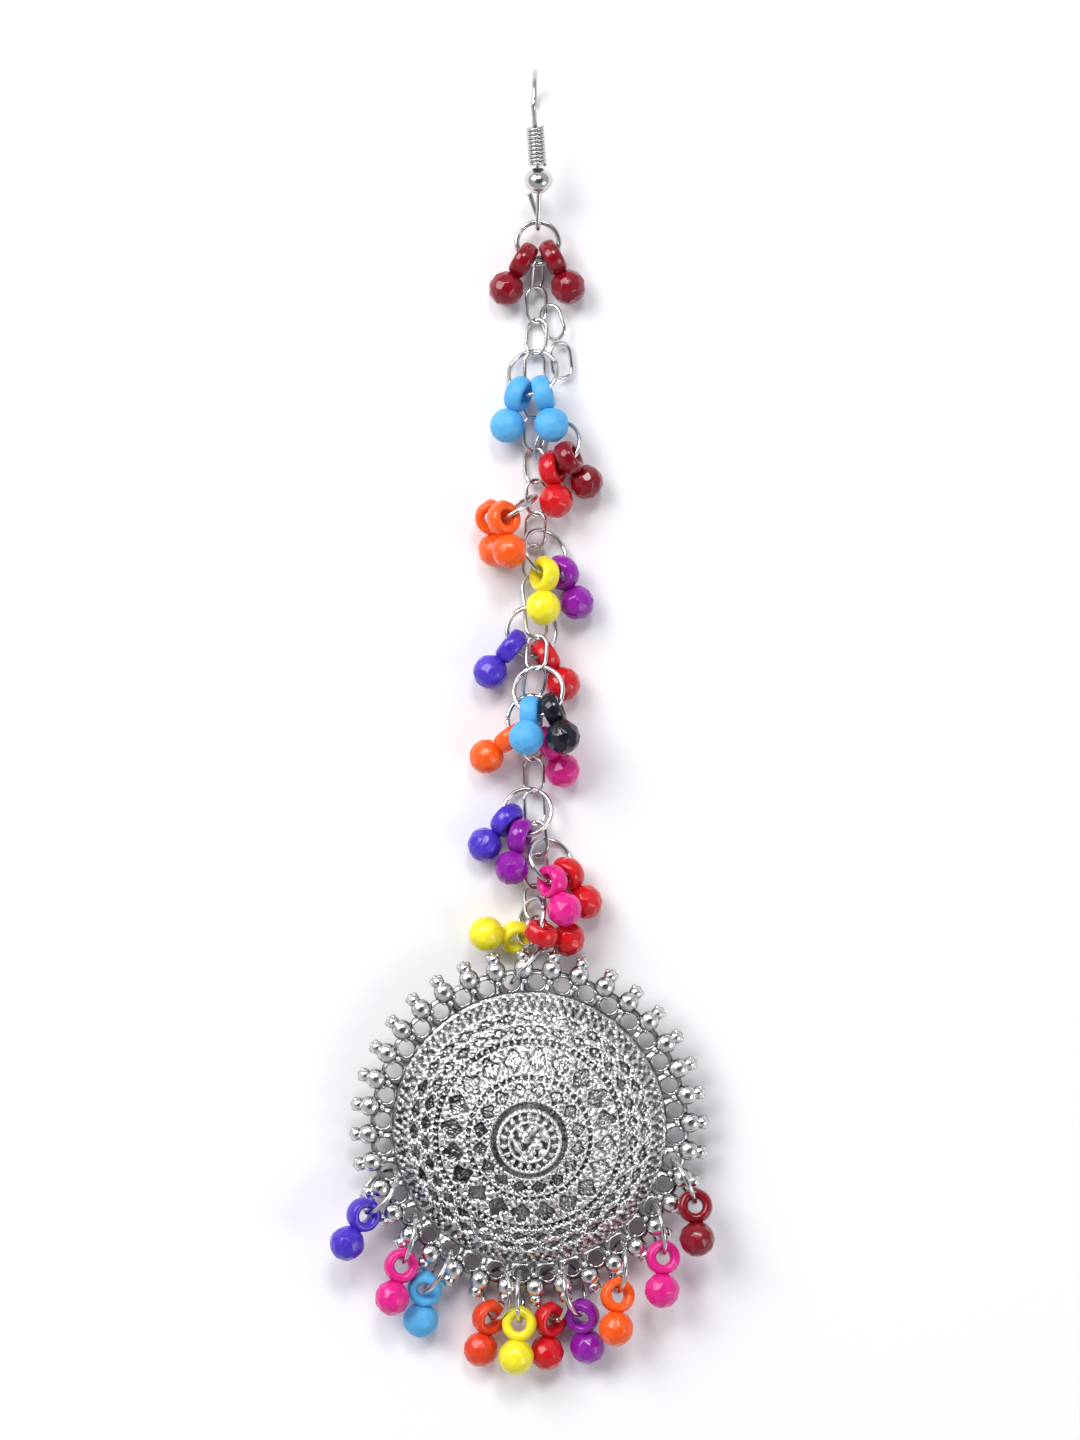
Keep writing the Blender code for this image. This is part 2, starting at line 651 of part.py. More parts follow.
# Chain: neighbouring links lie in different meshes, so that each Boolean joins bodies that cross
ring_mesh = torus(ring_radius, RING_WIRE, RING_SIDES, WIRE_SIDES)
every_link = chain_links + tail_links
chain_rings = [rings[name].matrix() for name in CHAIN_RINGS]
groups = []
for start in (0, 1):
    own = every_link[start::2]
    groups.append(joined([link_mesh] * len(own), own))
for start in (0, 1):
    own = chain_rings[start::2]
    groups.append(joined([ring_mesh] * len(own), own))
piece("chain", without_slivers(combined(groups[0], groups[1:], "UNION")), plating)

# Jump rings that are pieces of their own
top_mesh = torus(top_ring_radius, TOP_RING_WIRE, RING_SIDES, WIRE_SIDES)
piece("top_ring", top_mesh, plating, rings["top"].matrix())
piece("end_ring", ring_mesh, plating, rings["end"].matrix())
for number in range(1, len(DISC_DROPS) + 1):
    piece(f"drop_ring_{number:02d}", ring_mesh, plating, rings[f"drop_{number:02d}"].matrix())

# Drops: the ball hangs along -Y of its loop, whose hole runs along Z
loop_mesh = torus(loop_radius, 2 * loop_wall, LOOP_SIDES, LOOP_WALL_SIDES, depth=LOOP_THICKNESS / (2 * loop_wall))
bpy.ops.mesh.primitive_ico_sphere_add(subdivisions=2, radius=ball_radius, location=(0, -ball_reach, 0))
bpy.context.object.rotation_euler.x = math.pi / 2
ball_mesh = taken(bpy.context.object)
drop_mesh = combined(loop_mesh, [ball_mesh], "UNION")
for name, drop in drops.items():
    piece(name, drop_mesh, drop_finishes[drop.colour], drop.matrix())

# Disc: a turned shell, open behind, with ridges between its bands
RIB_BANDS = (0.55, 0.79)
DOME_OUTSIDE = (
    (0.0, 1.0),
    (0.22, 0.94),
    (0.25, 0.83),
    (0.435, 0.745),
    (0.465, 0.69),
    (RIB_BANDS[0], 0.61),
    (0.64, 0.53),
    (0.672, 0.56),
    (0.705, 0.48),
    (RIB_BANDS[1], 0.4),
    (0.88, 0.325),
    (1.0, FLANGE_THICKNESS / DOME_HEIGHT),
)
DOME_INSIDE = (0.84, 0.45, 0.0)


def dome_height(share):
    """The dome's outside height at a share of its radius."""
    return float(np.interp(share, [r for r, z in DOME_OUTSIDE], [z for r, z in DOME_OUTSIDE])) * DOME_HEIGHT


profile = [(r * DOME_RADIUS, z * DOME_HEIGHT) for r, z in DOME_OUTSIDE]
profile += [(DISC_EDGE_RADIUS, FLANGE_THICKNESS), (DISC_EDGE_RADIUS, 0), (DOME_RADIUS - DOME_WALL, 0)]
profile += [(r * DOME_RADIUS, dome_height(r) - 1.25 * DOME_WALL) for r in DOME_INSIDE]


def turned(points, steps):
    """A closed solid turned about Z from a profile that runs down its outer side."""
    mesh = bpy.data.meshes.new("profile")
    mesh.from_pydata([(x, 0, z) for x, z in points], [(i, i + 1) for i in range(len(points) - 1)], [])
    shape = shape_of(mesh)
    screw = shape.modifiers.new("turn", "SCREW")
    screw.steps = steps
    screw.render_steps = steps
    screw.use_merge_vertices = True
    screw.merge_threshold = 0.01 * mm
    return taken(shape)


def spin(angle, radius, height):
    """A placing on the disc's own axes, turned to face outwards at an angle from its top."""
    turn = Matrix.Rotation(angle, 4, "Z")
    return turn @ Matrix.Translation((0, radius, height))


shell = turned(profile, HOLE_COUNT)
for vertex in shell.vertices:
    radius = math.hypot(vertex.co.x, vertex.co.y)
    segment = round(math.atan2(vertex.co.y, vertex.co.x) * HOLE_COUNT / (2 * math.pi))
    outside = vertex.co.z > dome_height(radius / DOME_RADIUS) - DOME_WALL / 2
    if outside and min(abs(radius - band * DOME_RADIUS) for band in RIB_BANDS) < 0.01 * mm:
        vertex.co.z += RIB_HEIGHT / 2 * (-1) ** segment
shell.transform(Matrix.Rotation(HOLE_PHASE + math.pi / HOLE_COUNT + math.pi / 2, 4, "Z"))
pitch_angle = 2 * math.pi / HOLE_COUNT
holes = [spin(HOLE_PHASE + i * pitch_angle, hole_radius, FLANGE_THICKNESS / 2) for i in range(HOLE_COUNT)]
corner_radius = HOLE_DIAMETER / 2 / math.cos(math.pi / 6)
bpy.ops.mesh.primitive_cylinder_add(vertices=6, radius=corner_radius, depth=4 * FLANGE_THICKNESS)
drill = taken(bpy.context.object)
pierced = combined(shell, [joined([drill] * HOLE_COUNT, holes)], "DIFFERENCE")

# Grains of the rim: each a big grain that tapers into a small one
grain_length = small_grain_radius + SMALL_GRAIN_DIAMETER / 2 - big_grain_radius + BIG_GRAIN_DIAMETER / 2
grain_middle = small_grain_radius + SMALL_GRAIN_DIAMETER / 2 - grain_length / 2
bpy.ops.mesh.primitive_ico_sphere_add(subdivisions=1, radius=0.5)
grain_shape = bpy.context.object
grain_shape.rotation_euler.x = -math.pi / 2
grain = taken(grain_shape)
for vertex in grain.vertices:
    taper = 1 - 0.5 * max(0.0, vertex.co.y)
    vertex.co.x *= BIG_GRAIN_DIAMETER * taper
    vertex.co.z *= GRAIN_HEIGHT * taper
    vertex.co.y *= grain_length
grains = [spin(HOLE_PHASE + (i + 0.5) * pitch_angle, grain_middle, grain_level) for i in range(HOLE_COUNT)]

piece("disc", combined(pierced, [joined([grain] * HOLE_COUNT, grains)], "UNION"), antique, disc_matrix)


def wire(points, thickness, resolution):
    """A bent wire: a curve through points with a round section and filled ends."""
    curve = bpy.data.curves.new("wire", "CURVE")
    curve.dimensions = "3D"
    curve.bevel_depth = thickness / 2
    curve.bevel_resolution = resolution
    curve.use_fill_caps = True
    spline = curve.splines.new("POLY")
    spline.points.add(len(points) - 1)
    for point, place in zip(spline.points, points):
        point.co = (*place, 1)
    shape = bpy.data.objects.new("wire", curve)
    cutters.objects.link(shape)
    return taken(shape)


# Ear wire: it hooks over the top ring, runs up through the bead and the coil, and bows round to its tail
eye_radius = (TOP_RING_WIRE + HOOK_WIRE) / 2 + BEARING_GAP
hook_start = rings["top"].at(math.pi)
shank_low = hook_start + SHANK_LOW
shank_top = hook_start + SHANK_TOP
bow_centre = hook_start + BOW_MIDDLE
bow_centre.z = BOW_RADIUS + HOOK_WIRE / 2 + FLOOR_GAP
eye = []
for i in range(9):
    angle = (70 + i * 27.5) * deg
    eye.append(hook_start + eye_radius * Vector((0, math.cos(angle + 20 * deg), math.sin(angle + 20 * deg))))
bow = []
for i in range(13):
    angle = (104 - i * 15.5) * deg
    bow.append(bow_centre + BOW_RADIUS * Vector((0.03 * math.cos(angle), math.cos(angle), math.sin(angle))))
tail_tip = eye[-1] + RETURN_END
path = [tail_tip] + eye[::-1] + [shank_low, shank_top] + bow
piece("ear_hook", wire(path, HOOK_WIRE, 1), steel)

shank = (shank_top - shank_low).normalized()
shank_turn = shank.to_track_quat("Z", "Y").to_matrix().to_4x4()
bore = HOOK_WIRE / 2 + BORE_GAP
bead_profile = []
for i in range(6):
    angle = (1 - i * 0.4) * BEAD_SHOULDER
    bead_profile.append((BEAD_DIAMETER / 2 * math.cos(angle), BEAD_LENGTH / 2 * math.sin(angle)))
bead_profile = [(bore, BEAD_LENGTH / 2)] + bead_profile + [(bore, -BEAD_LENGTH / 2)]
bead_mesh = turned(bead_profile + bead_profile[:1], 10)
bead_place = shank_low + shank * BEAD_LENGTH * 0.2
piece("hook_bead", bead_mesh, plating, Matrix.Translation(bead_place) @ shank_turn)

coil_radius = (COIL_OUTER - COIL_WIRE) / 2
coil_step = COIL_WIRE * 1.05
coil_points = []
for i in range(COIL_TURNS * COIL_SIDES + 1):
    angle = i * 2 * math.pi / COIL_SIDES
    coil_points.append((coil_radius * math.cos(angle), coil_radius * math.sin(angle), i / COIL_SIDES * coil_step))
coil_place = bead_place + shank * (BEAD_LENGTH / 2 + COIL_WIRE / 2 + BEARING_GAP)
piece("hook_coil", wire(coil_points, COIL_WIRE, 0), steel, Matrix.Translation(coil_place) @ shank_turn)

# The origin is under the middle of the whole earring, on the surface
bpy.context.view_layer.update()
places = np.vstack(
    [np.array([body.matrix_world @ vertex.co for vertex in body.data.vertices]) for body in earring.children]
)
low, high = Vector(places.min(axis=0)), Vector(places.max(axis=0))
earring.location = -Vector(((low.x + high.x) / 2, (low.y + high.y) / 2, low.z))
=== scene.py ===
# The looks of a long chain earring that lies on a white table: ear wire, curb chain with faceted drops, and a
# cast, pierced and domed disc with more drops along its foot. Lengths are in millimetres up to the meshes.
import json
import math

import bmesh
import bpy
import numpy as np
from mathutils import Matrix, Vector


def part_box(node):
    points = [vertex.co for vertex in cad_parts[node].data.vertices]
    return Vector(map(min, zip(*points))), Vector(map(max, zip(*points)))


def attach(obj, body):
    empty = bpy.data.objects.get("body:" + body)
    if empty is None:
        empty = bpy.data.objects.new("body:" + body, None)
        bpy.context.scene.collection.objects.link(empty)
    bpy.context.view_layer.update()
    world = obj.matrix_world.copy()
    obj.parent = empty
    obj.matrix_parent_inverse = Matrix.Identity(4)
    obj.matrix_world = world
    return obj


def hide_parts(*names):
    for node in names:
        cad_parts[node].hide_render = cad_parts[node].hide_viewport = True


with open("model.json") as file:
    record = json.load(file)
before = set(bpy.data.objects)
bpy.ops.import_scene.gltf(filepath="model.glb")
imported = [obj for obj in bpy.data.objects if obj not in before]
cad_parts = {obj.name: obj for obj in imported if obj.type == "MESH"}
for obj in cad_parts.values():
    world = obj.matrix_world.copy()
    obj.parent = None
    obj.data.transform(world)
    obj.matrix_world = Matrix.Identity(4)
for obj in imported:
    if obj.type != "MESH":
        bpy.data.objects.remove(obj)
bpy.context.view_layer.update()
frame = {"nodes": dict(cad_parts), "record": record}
scene = bpy.context.scene

# Table, lights and camera. The earring lies on a bright white table under a large soft light from the upper
# left, and is seen from straight above with a long lens.
MM = 0.001
VIEW_CENTRE = (1.32, -0.08)
CAMERA_HEIGHT = 480
VIEW_LONG_SIDE = 151.92
SENSOR = 36
CLIP_START = 10
TABLE_SIZE = 1600

# Places in this script count from the part's own origin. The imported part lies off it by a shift, which is
# read at the top ring.
TOP_RING_PLACE = np.array((1.1, 50.0, 2.25))
top_low, top_high = (np.array(corner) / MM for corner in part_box("top_ring"))
shift = (top_low + top_high) / 2 - TOP_RING_PLACE

# Lamps: name, place, size, watts and colour
LAMPS = (
    ("key_light", (-420, 380, 560), 480, 4.9, (1.0, 0.99, 0.97)),
    ("fill_light", (520, -260, 420), 300, 1.0, (0.95, 0.97, 1.0)),
    ("top_light", (60, 520, 700), 220, 2.2, (1.0, 1.0, 1.0)),
)

camera = bpy.data.objects.new("camera", bpy.data.cameras.new("camera"))
scene.collection.objects.link(camera)
camera.location = np.array((*VIEW_CENTRE, CAMERA_HEIGHT)) * MM + np.array((shift[0], shift[1], 0)) * MM
camera.data.sensor_width = SENSOR
camera.data.lens = SENSOR * CAMERA_HEIGHT / VIEW_LONG_SIDE
camera.data.clip_start = CLIP_START * MM
scene.camera = camera
scene.view_settings.view_transform = "Standard"


def soft_light(name, place, size, watts, colour):
    """A square lamp at a place, aimed at the middle of the earring."""
    lamp = bpy.data.lights.new(name, "AREA")
    lamp.size = size * MM
    lamp.energy = watts
    lamp.color = colour
    holder = bpy.data.objects.new(name, lamp)
    scene.collection.objects.link(holder)
    holder.location = np.array(place) * MM
    holder.rotation_euler = (-holder.location).to_track_quat("-Z", "Y").to_euler()


for lamp_row in LAMPS:
    soft_light(*lamp_row)

# White walls all round, and a dark ceiling right overhead, which bright metal mirrors. The ceiling begins and
# is full at these heights of the way upwards, which is 1 straight overhead.
WALL_COLOUR = (0.93, 0.94, 1.0)
WALL_STRENGTH = 0.52
CEILING_STRENGTH = 0.06
CEILING_START, CEILING_FULL = 0.7, 0.95

world = bpy.data.worlds.new("studio")
scene.world = world
world.use_nodes = True
sky = world.node_tree.nodes["Background"]
sky.inputs["Color"].default_value = (*WALL_COLOUR, 1)
sky_way = world.node_tree.nodes.new("ShaderNodeTexCoord")
sky_parts = world.node_tree.nodes.new("ShaderNodeSeparateXYZ")
ceiling = world.node_tree.nodes.new("ShaderNodeMapRange")
ceiling.interpolation_type = "SMOOTHSTEP"
ceiling.inputs["From Min"].default_value = CEILING_START
ceiling.inputs["From Max"].default_value = CEILING_FULL
ceiling.inputs["To Min"].default_value = WALL_STRENGTH
ceiling.inputs["To Max"].default_value = CEILING_STRENGTH
world.node_tree.links.new(sky_way.outputs["Generated"], sky_parts.inputs[0])
world.node_tree.links.new(sky_parts.outputs["Z"], ceiling.inputs["Value"])
world.node_tree.links.new(ceiling.outputs[0], sky.inputs["Strength"])


def new_material(name, colour, roughness, metallic=0.0):
    """A Principled material with plain values; returns the material, its node tree and its shader."""
    material = bpy.data.materials.new(name)
    material.use_nodes = True
    tree = material.node_tree
    shader = tree.nodes["Principled BSDF"]
    shader.inputs["Base Color"].default_value = (*colour, 1)
    shader.inputs["Roughness"].default_value = roughness
    shader.inputs["Metallic"].default_value = metallic
    return material, tree, shader


# The noise node's own values lie mostly between these
NOISE_LOW, NOISE_HIGH = 0.3, 0.7


def noise_between(tree, scale, low, high, detail=4.0):
    """Noise on object coordinates, spread from one value to another; scale is in bumps a metre."""
    where = tree.nodes.new("ShaderNodeTexCoord")
    noise = tree.nodes.new("ShaderNodeTexNoise")
    spread = tree.nodes.new("ShaderNodeMapRange")
    noise.inputs["Scale"].default_value = scale
    noise.inputs["Detail"].default_value = detail
    spread.inputs["From Min"].default_value = NOISE_LOW
    spread.inputs["From Max"].default_value = NOISE_HIGH
    spread.inputs["To Min"].default_value = low
    spread.inputs["To Max"].default_value = high
    tree.links.new(where.outputs["Object"], noise.inputs["Vector"])
    tree.links.new(noise.outputs["Fac"], spread.inputs["Value"])
    return spread.outputs["Result"]


def bumped(tree, shader, height, strength, distance):
    """Feeds a height into the shader's normal; distance is the relief's depth in millimetres."""
    bump = tree.nodes.new("ShaderNodeBump")
    bump.inputs["Strength"].default_value = strength
    bump.inputs["Distance"].default_value = distance * MM
    tree.links.new(height, bump.inputs["Height"])
    tree.links.new(bump.outputs["Normal"], shader.inputs["Normal"])


MERGE_DISTANCE = 0.0004


def build(name, points, faces, material, values=None):
    """A mesh object from points in millimetres and rows of face corners. Points that coincide, as at a pole
    or a seam, are merged, and values, where given, become the point attribute of darkening that the silver
    reads: patina, and painted shade and highlight."""
    mesh = bpy.data.meshes.new(name)
    mesh.from_pydata((np.asarray(points) * MM).tolist(), [], np.asarray(faces).tolist())
    if values is not None:
        layer = mesh.attributes.new("patina_and_painted_light", "FLOAT", "POINT")
        layer.data.foreach_set("value", np.asarray(values, dtype=np.float32))
    bm = bmesh.new()
    bm.from_mesh(mesh)
    bmesh.ops.remove_doubles(bm, verts=bm.verts, dist=MERGE_DISTANCE * MM)
    bmesh.ops.recalc_face_normals(bm, faces=bm.faces)
    bm.to_mesh(mesh)
    bm.free()
    mesh.shade_smooth()
    mesh.materials.append(material)
    piece = bpy.data.objects.new(name, mesh)
    scene.collection.objects.link(piece)
    return piece


TABLE_WHITE = (0.93, 0.92, 0.95)
TABLE_ROUGHNESS = 0.7
TABLE_CORNERS = np.array(((-1, -1, 0), (1, -1, 0), (1, 1, 0), (-1, 1, 0))) * TABLE_SIZE / 2

table_white, table_tree, table_shader = new_material("table_white", TABLE_WHITE, TABLE_ROUGHNESS)
table_grain = noise_between(table_tree, scale=900, low=0.0, high=1.0)
bumped(table_tree, table_shader, table_grain, strength=0.15, distance=0.05)
table = build("table", TABLE_CORNERS, [(0, 1, 2, 3)], table_white)


# Jump rings. Each is a turn of bright plated wire, cut square and pressed shut, so a hair of a gap stays.
# One joins ear wire and chain, one joins chain and disc, and ten hang in the disc's holes with a drop each.
RING_OUTER = 5.7
RING_WIRE = 0.5
TOP_RING_OUTER = 5.0
TOP_RING_WIRE = 0.56
RING_GAP = math.radians(2.2)
FIRST_GAP_ANGLE, GAP_TURN = 0.9, 0.7
DROP_RING_COUNT = 10
RING_STEPS = 64
WIRE_SIDES = 14
POINT_DIGITS = 4
PLATING = (0.66, 0.655, 0.64)
PLATING_ROUGHNESS = 0.16
ring_radius = (RING_OUTER - RING_WIRE) / 2
top_ring_radius = (TOP_RING_OUTER - TOP_RING_WIRE) / 2

plating, plating_tree, plating_shader = new_material("bright_plating", PLATING, PLATING_ROUGHNESS, 1.0)
plating_sheen = noise_between(plating_tree, scale=2600, low=0.1, high=0.24)
plating_tree.links.new(plating_sheen, plating_shader.inputs["Roughness"])
plating_grain = noise_between(plating_tree, scale=5200, low=0.0, high=1.0, detail=6.0)
bumped(plating_tree, plating_shader, plating_grain, strength=0.2, distance=0.01)


def grid_faces(rows, columns, wrap_rows=False):
    """Four-cornered faces over a grid of points, counted row by row. Each row's last point joins its first,
    and the last row joins the first where the rows wrap."""
    i = np.arange(rows if wrap_rows else rows - 1)
    j = np.arange(columns)
    i, j = (a.ravel() for a in np.meshgrid(i, j, indexing="ij"))
    k = (i + 1) % rows
    m = (j + 1) % columns
    return np.column_stack((i * columns + j, i * columns + m, k * columns + m, k * columns + j))


def tube(path, radius, up, closed=False, sides=WIRE_SIDES):
    """A round wire carried along a path: at every path point a circle of the radius stands square to the way
    there, turned by the up direction. Open ends are flat and closed by a last circle of no size."""
    path = np.asarray(path, dtype=float)
    if closed:
        way = np.roll(path, -1, axis=0) - np.roll(path, 1, axis=0)
    else:
        way = np.gradient(path, axis=0)
    way /= np.linalg.norm(way, axis=1)[:, None]
    side = np.cross(way, up)
    side /= np.linalg.norm(side, axis=1)[:, None]
    top = np.cross(side, way)
    sizes = np.full(len(path), float(radius))
    if not closed:
        path = np.vstack((path[:1], path, path[-1:]))
        side = np.vstack((side[:1], side, side[-1:]))
        top = np.vstack((top[:1], top, top[-1:]))
        sizes = np.concatenate(([0], sizes, [0]))
    t = np.arange(sides) * 2 * np.pi / sides
    circle = np.cos(t)[None, :, None] * side[:, None] + np.sin(t)[None, :, None] * top[:, None]
    points = path[:, None] + sizes[:, None, None] * circle
    return points.reshape(-1, 3), grid_faces(len(path), sides, wrap_rows=closed)


def gathered(parts):
    """Joins pairs of points and faces into one pair."""
    points, faces, start = [], [], 0
    for own_points, own_faces in parts:
        points.append(own_points)
        faces.append(own_faces + start)
        start += len(own_points)
    return np.vstack(points), np.vstack(faces)


def node_points(name):
    """A CAD node's points in millimetres, each counted once."""
    mesh = frame["nodes"][name].data
    co = np.empty(len(mesh.vertices) * 3, dtype=np.float32)
    mesh.vertices.foreach_get("co", co)
    return np.unique(np.round(co.reshape(-1, 3) / MM, POINT_DIGITS), axis=0).astype(float)


def own_axes(points):
    """Middle of some points and their three own directions, the widest spread first."""
    middle = points.mean(axis=0)
    spread, axes = np.linalg.eigh(np.cov((points - middle).T))
    return middle, axes[:, ::-1].T


def jump_ring(middle, normal, radius, wire, gap_angle):
    """A ring of wire: its middle line is a circle about the normal, open by a hair at the gap's angle."""
    across = np.cross(normal, (0.0, 0.0, 1.0) if abs(normal[2]) < 0.9 else (1.0, 0.0, 0.0))
    across /= np.linalg.norm(across)
    other = np.cross(normal, across)
    t = gap_angle + np.linspace(RING_GAP / 2, 2 * np.pi - RING_GAP / 2, RING_STEPS)
    path = middle + radius * (np.cos(t)[:, None] * across + np.sin(t)[:, None] * other)
    return tube(path, wire / 2, normal)


separate_rings = {"top_ring": (top_ring_radius, TOP_RING_WIRE), "end_ring": (ring_radius, RING_WIRE)}
for number in range(1, DROP_RING_COUNT + 1):
    separate_rings[f"drop_ring_{number:02d}"] = (ring_radius, RING_WIRE)
for turn, (node, (radius, wire)) in enumerate(separate_rings.items()):
    middle, axes = own_axes(node_points(node))
    gap_angle = FIRST_GAP_ANGLE + GAP_TURN * turn
    ring = build(f"{node}_wire", *jump_ring(middle, axes[2], radius, wire, gap_angle), plating)
    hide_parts(node)
    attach(ring, "root")


# Chain. A curb chain of oval wire links lies in a shallow zigzag from ring to ring, with a short free tail at
# its upper end. Ten jump rings run through its links. Each link is bent from plated wire and soldered shut.
LINK_LENGTH = 4.1
LINK_WIDTH = 2.7
LINK_WIRE = 0.4
LINK_ROLL = math.radians(26)
FIRST_LINK_ROLL = math.radians(64)
LINK_STEPS = 56
THIN_WIRE_SIDES = 12
CURVE_STEPS = 40
ROUTE_STEPS = 400
CHAIN_GAP_TURN = 1.3
END_RING_HEADING = math.radians(140)
link_radius = (LINK_WIDTH - LINK_WIRE) / 2

# How far links and rings sink into each other where they touch, and the room that other wires keep
SOLDER = 0.12
BEARING_GAP = 0.16

# The disc that the chain holds: the hole nearest the chain takes the end ring. The disc lies tilted, and its
# place is that of its upper edge.
DISC_EDGE_RADIUS = 17.2
HOLE_CIRCLE_RADIUS = DISC_EDGE_RADIUS - 1.8
HOLE_PHASE = math.radians(7)
FLANGE_THICKNESS = 0.8
DISC_TILT = math.radians(3.4)
DISC_TOP = np.array((0.2, -25.63, 3.32))
disc_x = np.array((1.0, 0.0, 0.0))
disc_y = np.array((0.0, math.cos(DISC_TILT), math.sin(DISC_TILT)))
disc_z = np.cross(disc_x, disc_y)
disc_middle = DISC_TOP - DISC_EDGE_RADIUS * disc_y

# The chain's way over the table: x, y and height of its middle line
CHAIN_ROUTE = (
    (0.9, 45.5, 1.2),
    (1.2, 43.0, 0.9),
    (0.8, 40.0, 0.9),
    (0.8, 36.4, 0.9),
    (0.7, 32.5, 0.8),
    (0.7, 28.7, 0.8),
    (0.9, 24.0, 1.0),
    (1.0, 20.0, 1.0),
    (0.4, 15.8, 0.9),
    (0.6, 12.5, 1.2),
    (1.0, 9.5, 2.6),
    (1.0, 6.3, 3.9),
    (0.6, 3.2, 3.0),
    (0.4, 0.4, 1.5),
    (0.6, -3.0, 0.9),
    (0.6, -6.6, 1.0),
    (0.8, -10.4, 0.8),
    (1.3, -13.6, 0.9),
    (0.7, -16.8, 1.0),
    (0.6, -19.8, 1.5),
)
TAIL_ROUTE = ((3.2, 40.3, 1.1), (3.6, 37.4, 1.0), (3.9, 35.3, 0.9))
TAIL_LINK = 1

# Jump rings of the chain: the link that holds the ring, counted from the top, and that link's side, -1 and 1
# for its side wires and 0 for its foot; then the ring's angle there, its heading, pitch and lean, in degrees
CHAIN_RINGS = (
    (2, 0, 180, -6, 25, 76),
    (5, 1, 180, 52, 34, 90),
    (7, -1, 210, -58, 9, 10),
    (8, 1, 210, 31, 5, -47),
    (10, 0, 180, -6, 6, 98),
    (12, 0, 180, 6, 12, 80),
    (13, 0, 180, 0, 10, 91),
    (16, 0, 180, -16, 19, 76),
    (18, 1, 190, 26, 14, -48),
    (20, -1, 190, 3, 34, 32),
)


def unit(vector):
    """A vector's direction, of length 1."""
    return vector / np.linalg.norm(vector)


def ring_axes(heading, pitch, lean):
    """A ring's way from its bearing to its drops and its other axis: heading runs from -Y towards +X, pitch
    is the rise, and lean turns the ring about its way."""
    level = np.array((math.sin(heading), -math.cos(heading), 0))
    way = level * math.cos(pitch) + np.array((0, 0, math.sin(pitch)))
    side = np.array((math.cos(heading), math.sin(heading), 0))
    return way, np.cross(way, side) * math.cos(lean) + side * math.sin(lean)


def curve_points(route, count):
    """Points at even steps along the smooth curve through a route's own points, and its length. Between b and
    c, with a before them and d after, the curve is
    (2 b + (c - a) t + (2 a - 5 b + 4 c - d) t^2 + (3 b - a - 3 c + d) t^3) / 2."""
    p = np.array(route, dtype=float)
    p = np.vstack((2 * p[0] - p[1], p, 2 * p[-1] - p[-2]))
    t = np.linspace(0, 1, CURVE_STEPS, endpoint=False)[:, None]
    runs = []
    for a, b, c, d in zip(p, p[1:], p[2:], p[3:]):
        run = 2 * b + (c - a) * t + (2 * a - 5 * b + 4 * c - d) * t**2
        runs.append(0.5 * (run + (3 * b - a - 3 * c + d) * t**3))
    line = np.vstack(runs + [p[-2]])
    length = np.append(0, np.cumsum(np.linalg.norm(np.diff(line, axis=0), axis=1)))
    steps = np.linspace(0, length[-1], count)
    return np.column_stack([np.interp(steps, length, line[:, i]) for i in range(3)]), length[-1]


def chain_poses(route, first_roll):
    """Middle, wide axis and long axis of each link along a route: as many links as fit, spread evenly, each
    laid between two points of the route and rolled the other way from the last."""
    pitch = LINK_LENGTH - 2 * LINK_WIRE + SOLDER
    steps, full = curve_points(route, ROUTE_STEPS)
    last = ROUTE_STEPS - 1
    run = full / last
    count = max(2, round((full - LINK_LENGTH) / pitch) + 1)
    poses = []
    for i in range(count):
        middle = (LINK_LENGTH / 2 + i * pitch) * full / (LINK_LENGTH + (count - 1) * pitch)
        low = steps[min(last - 1, max(0, int(middle / run - LINK_LENGTH / 2 / run)))]
        high = steps[min(last, int(middle / run + LINK_LENGTH / 2 / run))]
        along = unit(low - high)
        flat = unit(np.cross(along, (0, 0, 1)))
        roll = (LINK_ROLL if i % 2 else -LINK_ROLL) if i else first_roll
        wide = flat * math.cos(roll) + np.cross(along, flat) * math.sin(roll)
        poses.append(((low + high) / 2, wide, along))
    return poses


def link_wire(middle, wide, along):
    """One oval link: two half circles of wire joined by straights."""
    t = np.arange(LINK_STEPS) * 2 * np.pi / LINK_STEPS
    x = link_radius * np.cos(t)
    y = link_radius * np.sin(t) + np.sign(np.round(np.sin(t), 6)) * (LINK_LENGTH - LINK_WIDTH) / 2
    path = middle + x[:, None] * wide + y[:, None] * along
    return tube(path, LINK_WIRE / 2, np.cross(wide, along), closed=True, sides=THIN_WIRE_SIDES)


def reached(route_point, ring_point, wire):
    """Where the chain's outer end lies when its last link holds a ring's wire."""
    return ring_point + unit(ring_point - route_point) * (wire / 2 + LINK_WIRE + BEARING_GAP)


hole_way = math.cos(HOLE_PHASE) * disc_y - math.sin(HOLE_PHASE) * disc_x
first_hole = disc_middle + HOLE_CIRCLE_RADIUS * hole_way + FLANGE_THICKNESS / 2 * disc_z
end_bearing = math.asin((first_hole[2] - RING_OUTER / 2) / ring_radius)
end_way, end_other = ring_axes(END_RING_HEADING, 0, 0)
end_across = math.cos(end_bearing) * end_way - math.sin(end_bearing) * end_other
end_hold = first_hole + 2 * ring_radius * end_across
top_hold = TOP_RING_PLACE - (0, top_ring_radius, 0)
start = reached(np.array(CHAIN_ROUTE[0]), top_hold, TOP_RING_WIRE)
foot = reached(np.array(CHAIN_ROUTE[-1]), end_hold, RING_WIRE)
links = chain_poses(np.vstack((start, CHAIN_ROUTE, foot)), FIRST_LINK_ROLL)

tail_hold = links[TAIL_LINK][0] + links[TAIL_LINK][1] * link_radius
tail_start = tail_hold - unit(np.array(TAIL_ROUTE[0]) - tail_hold) * (1.5 * LINK_WIRE - SOLDER)
tail = chain_poses(np.vstack((tail_start, TAIL_ROUTE)), -LINK_ROLL)

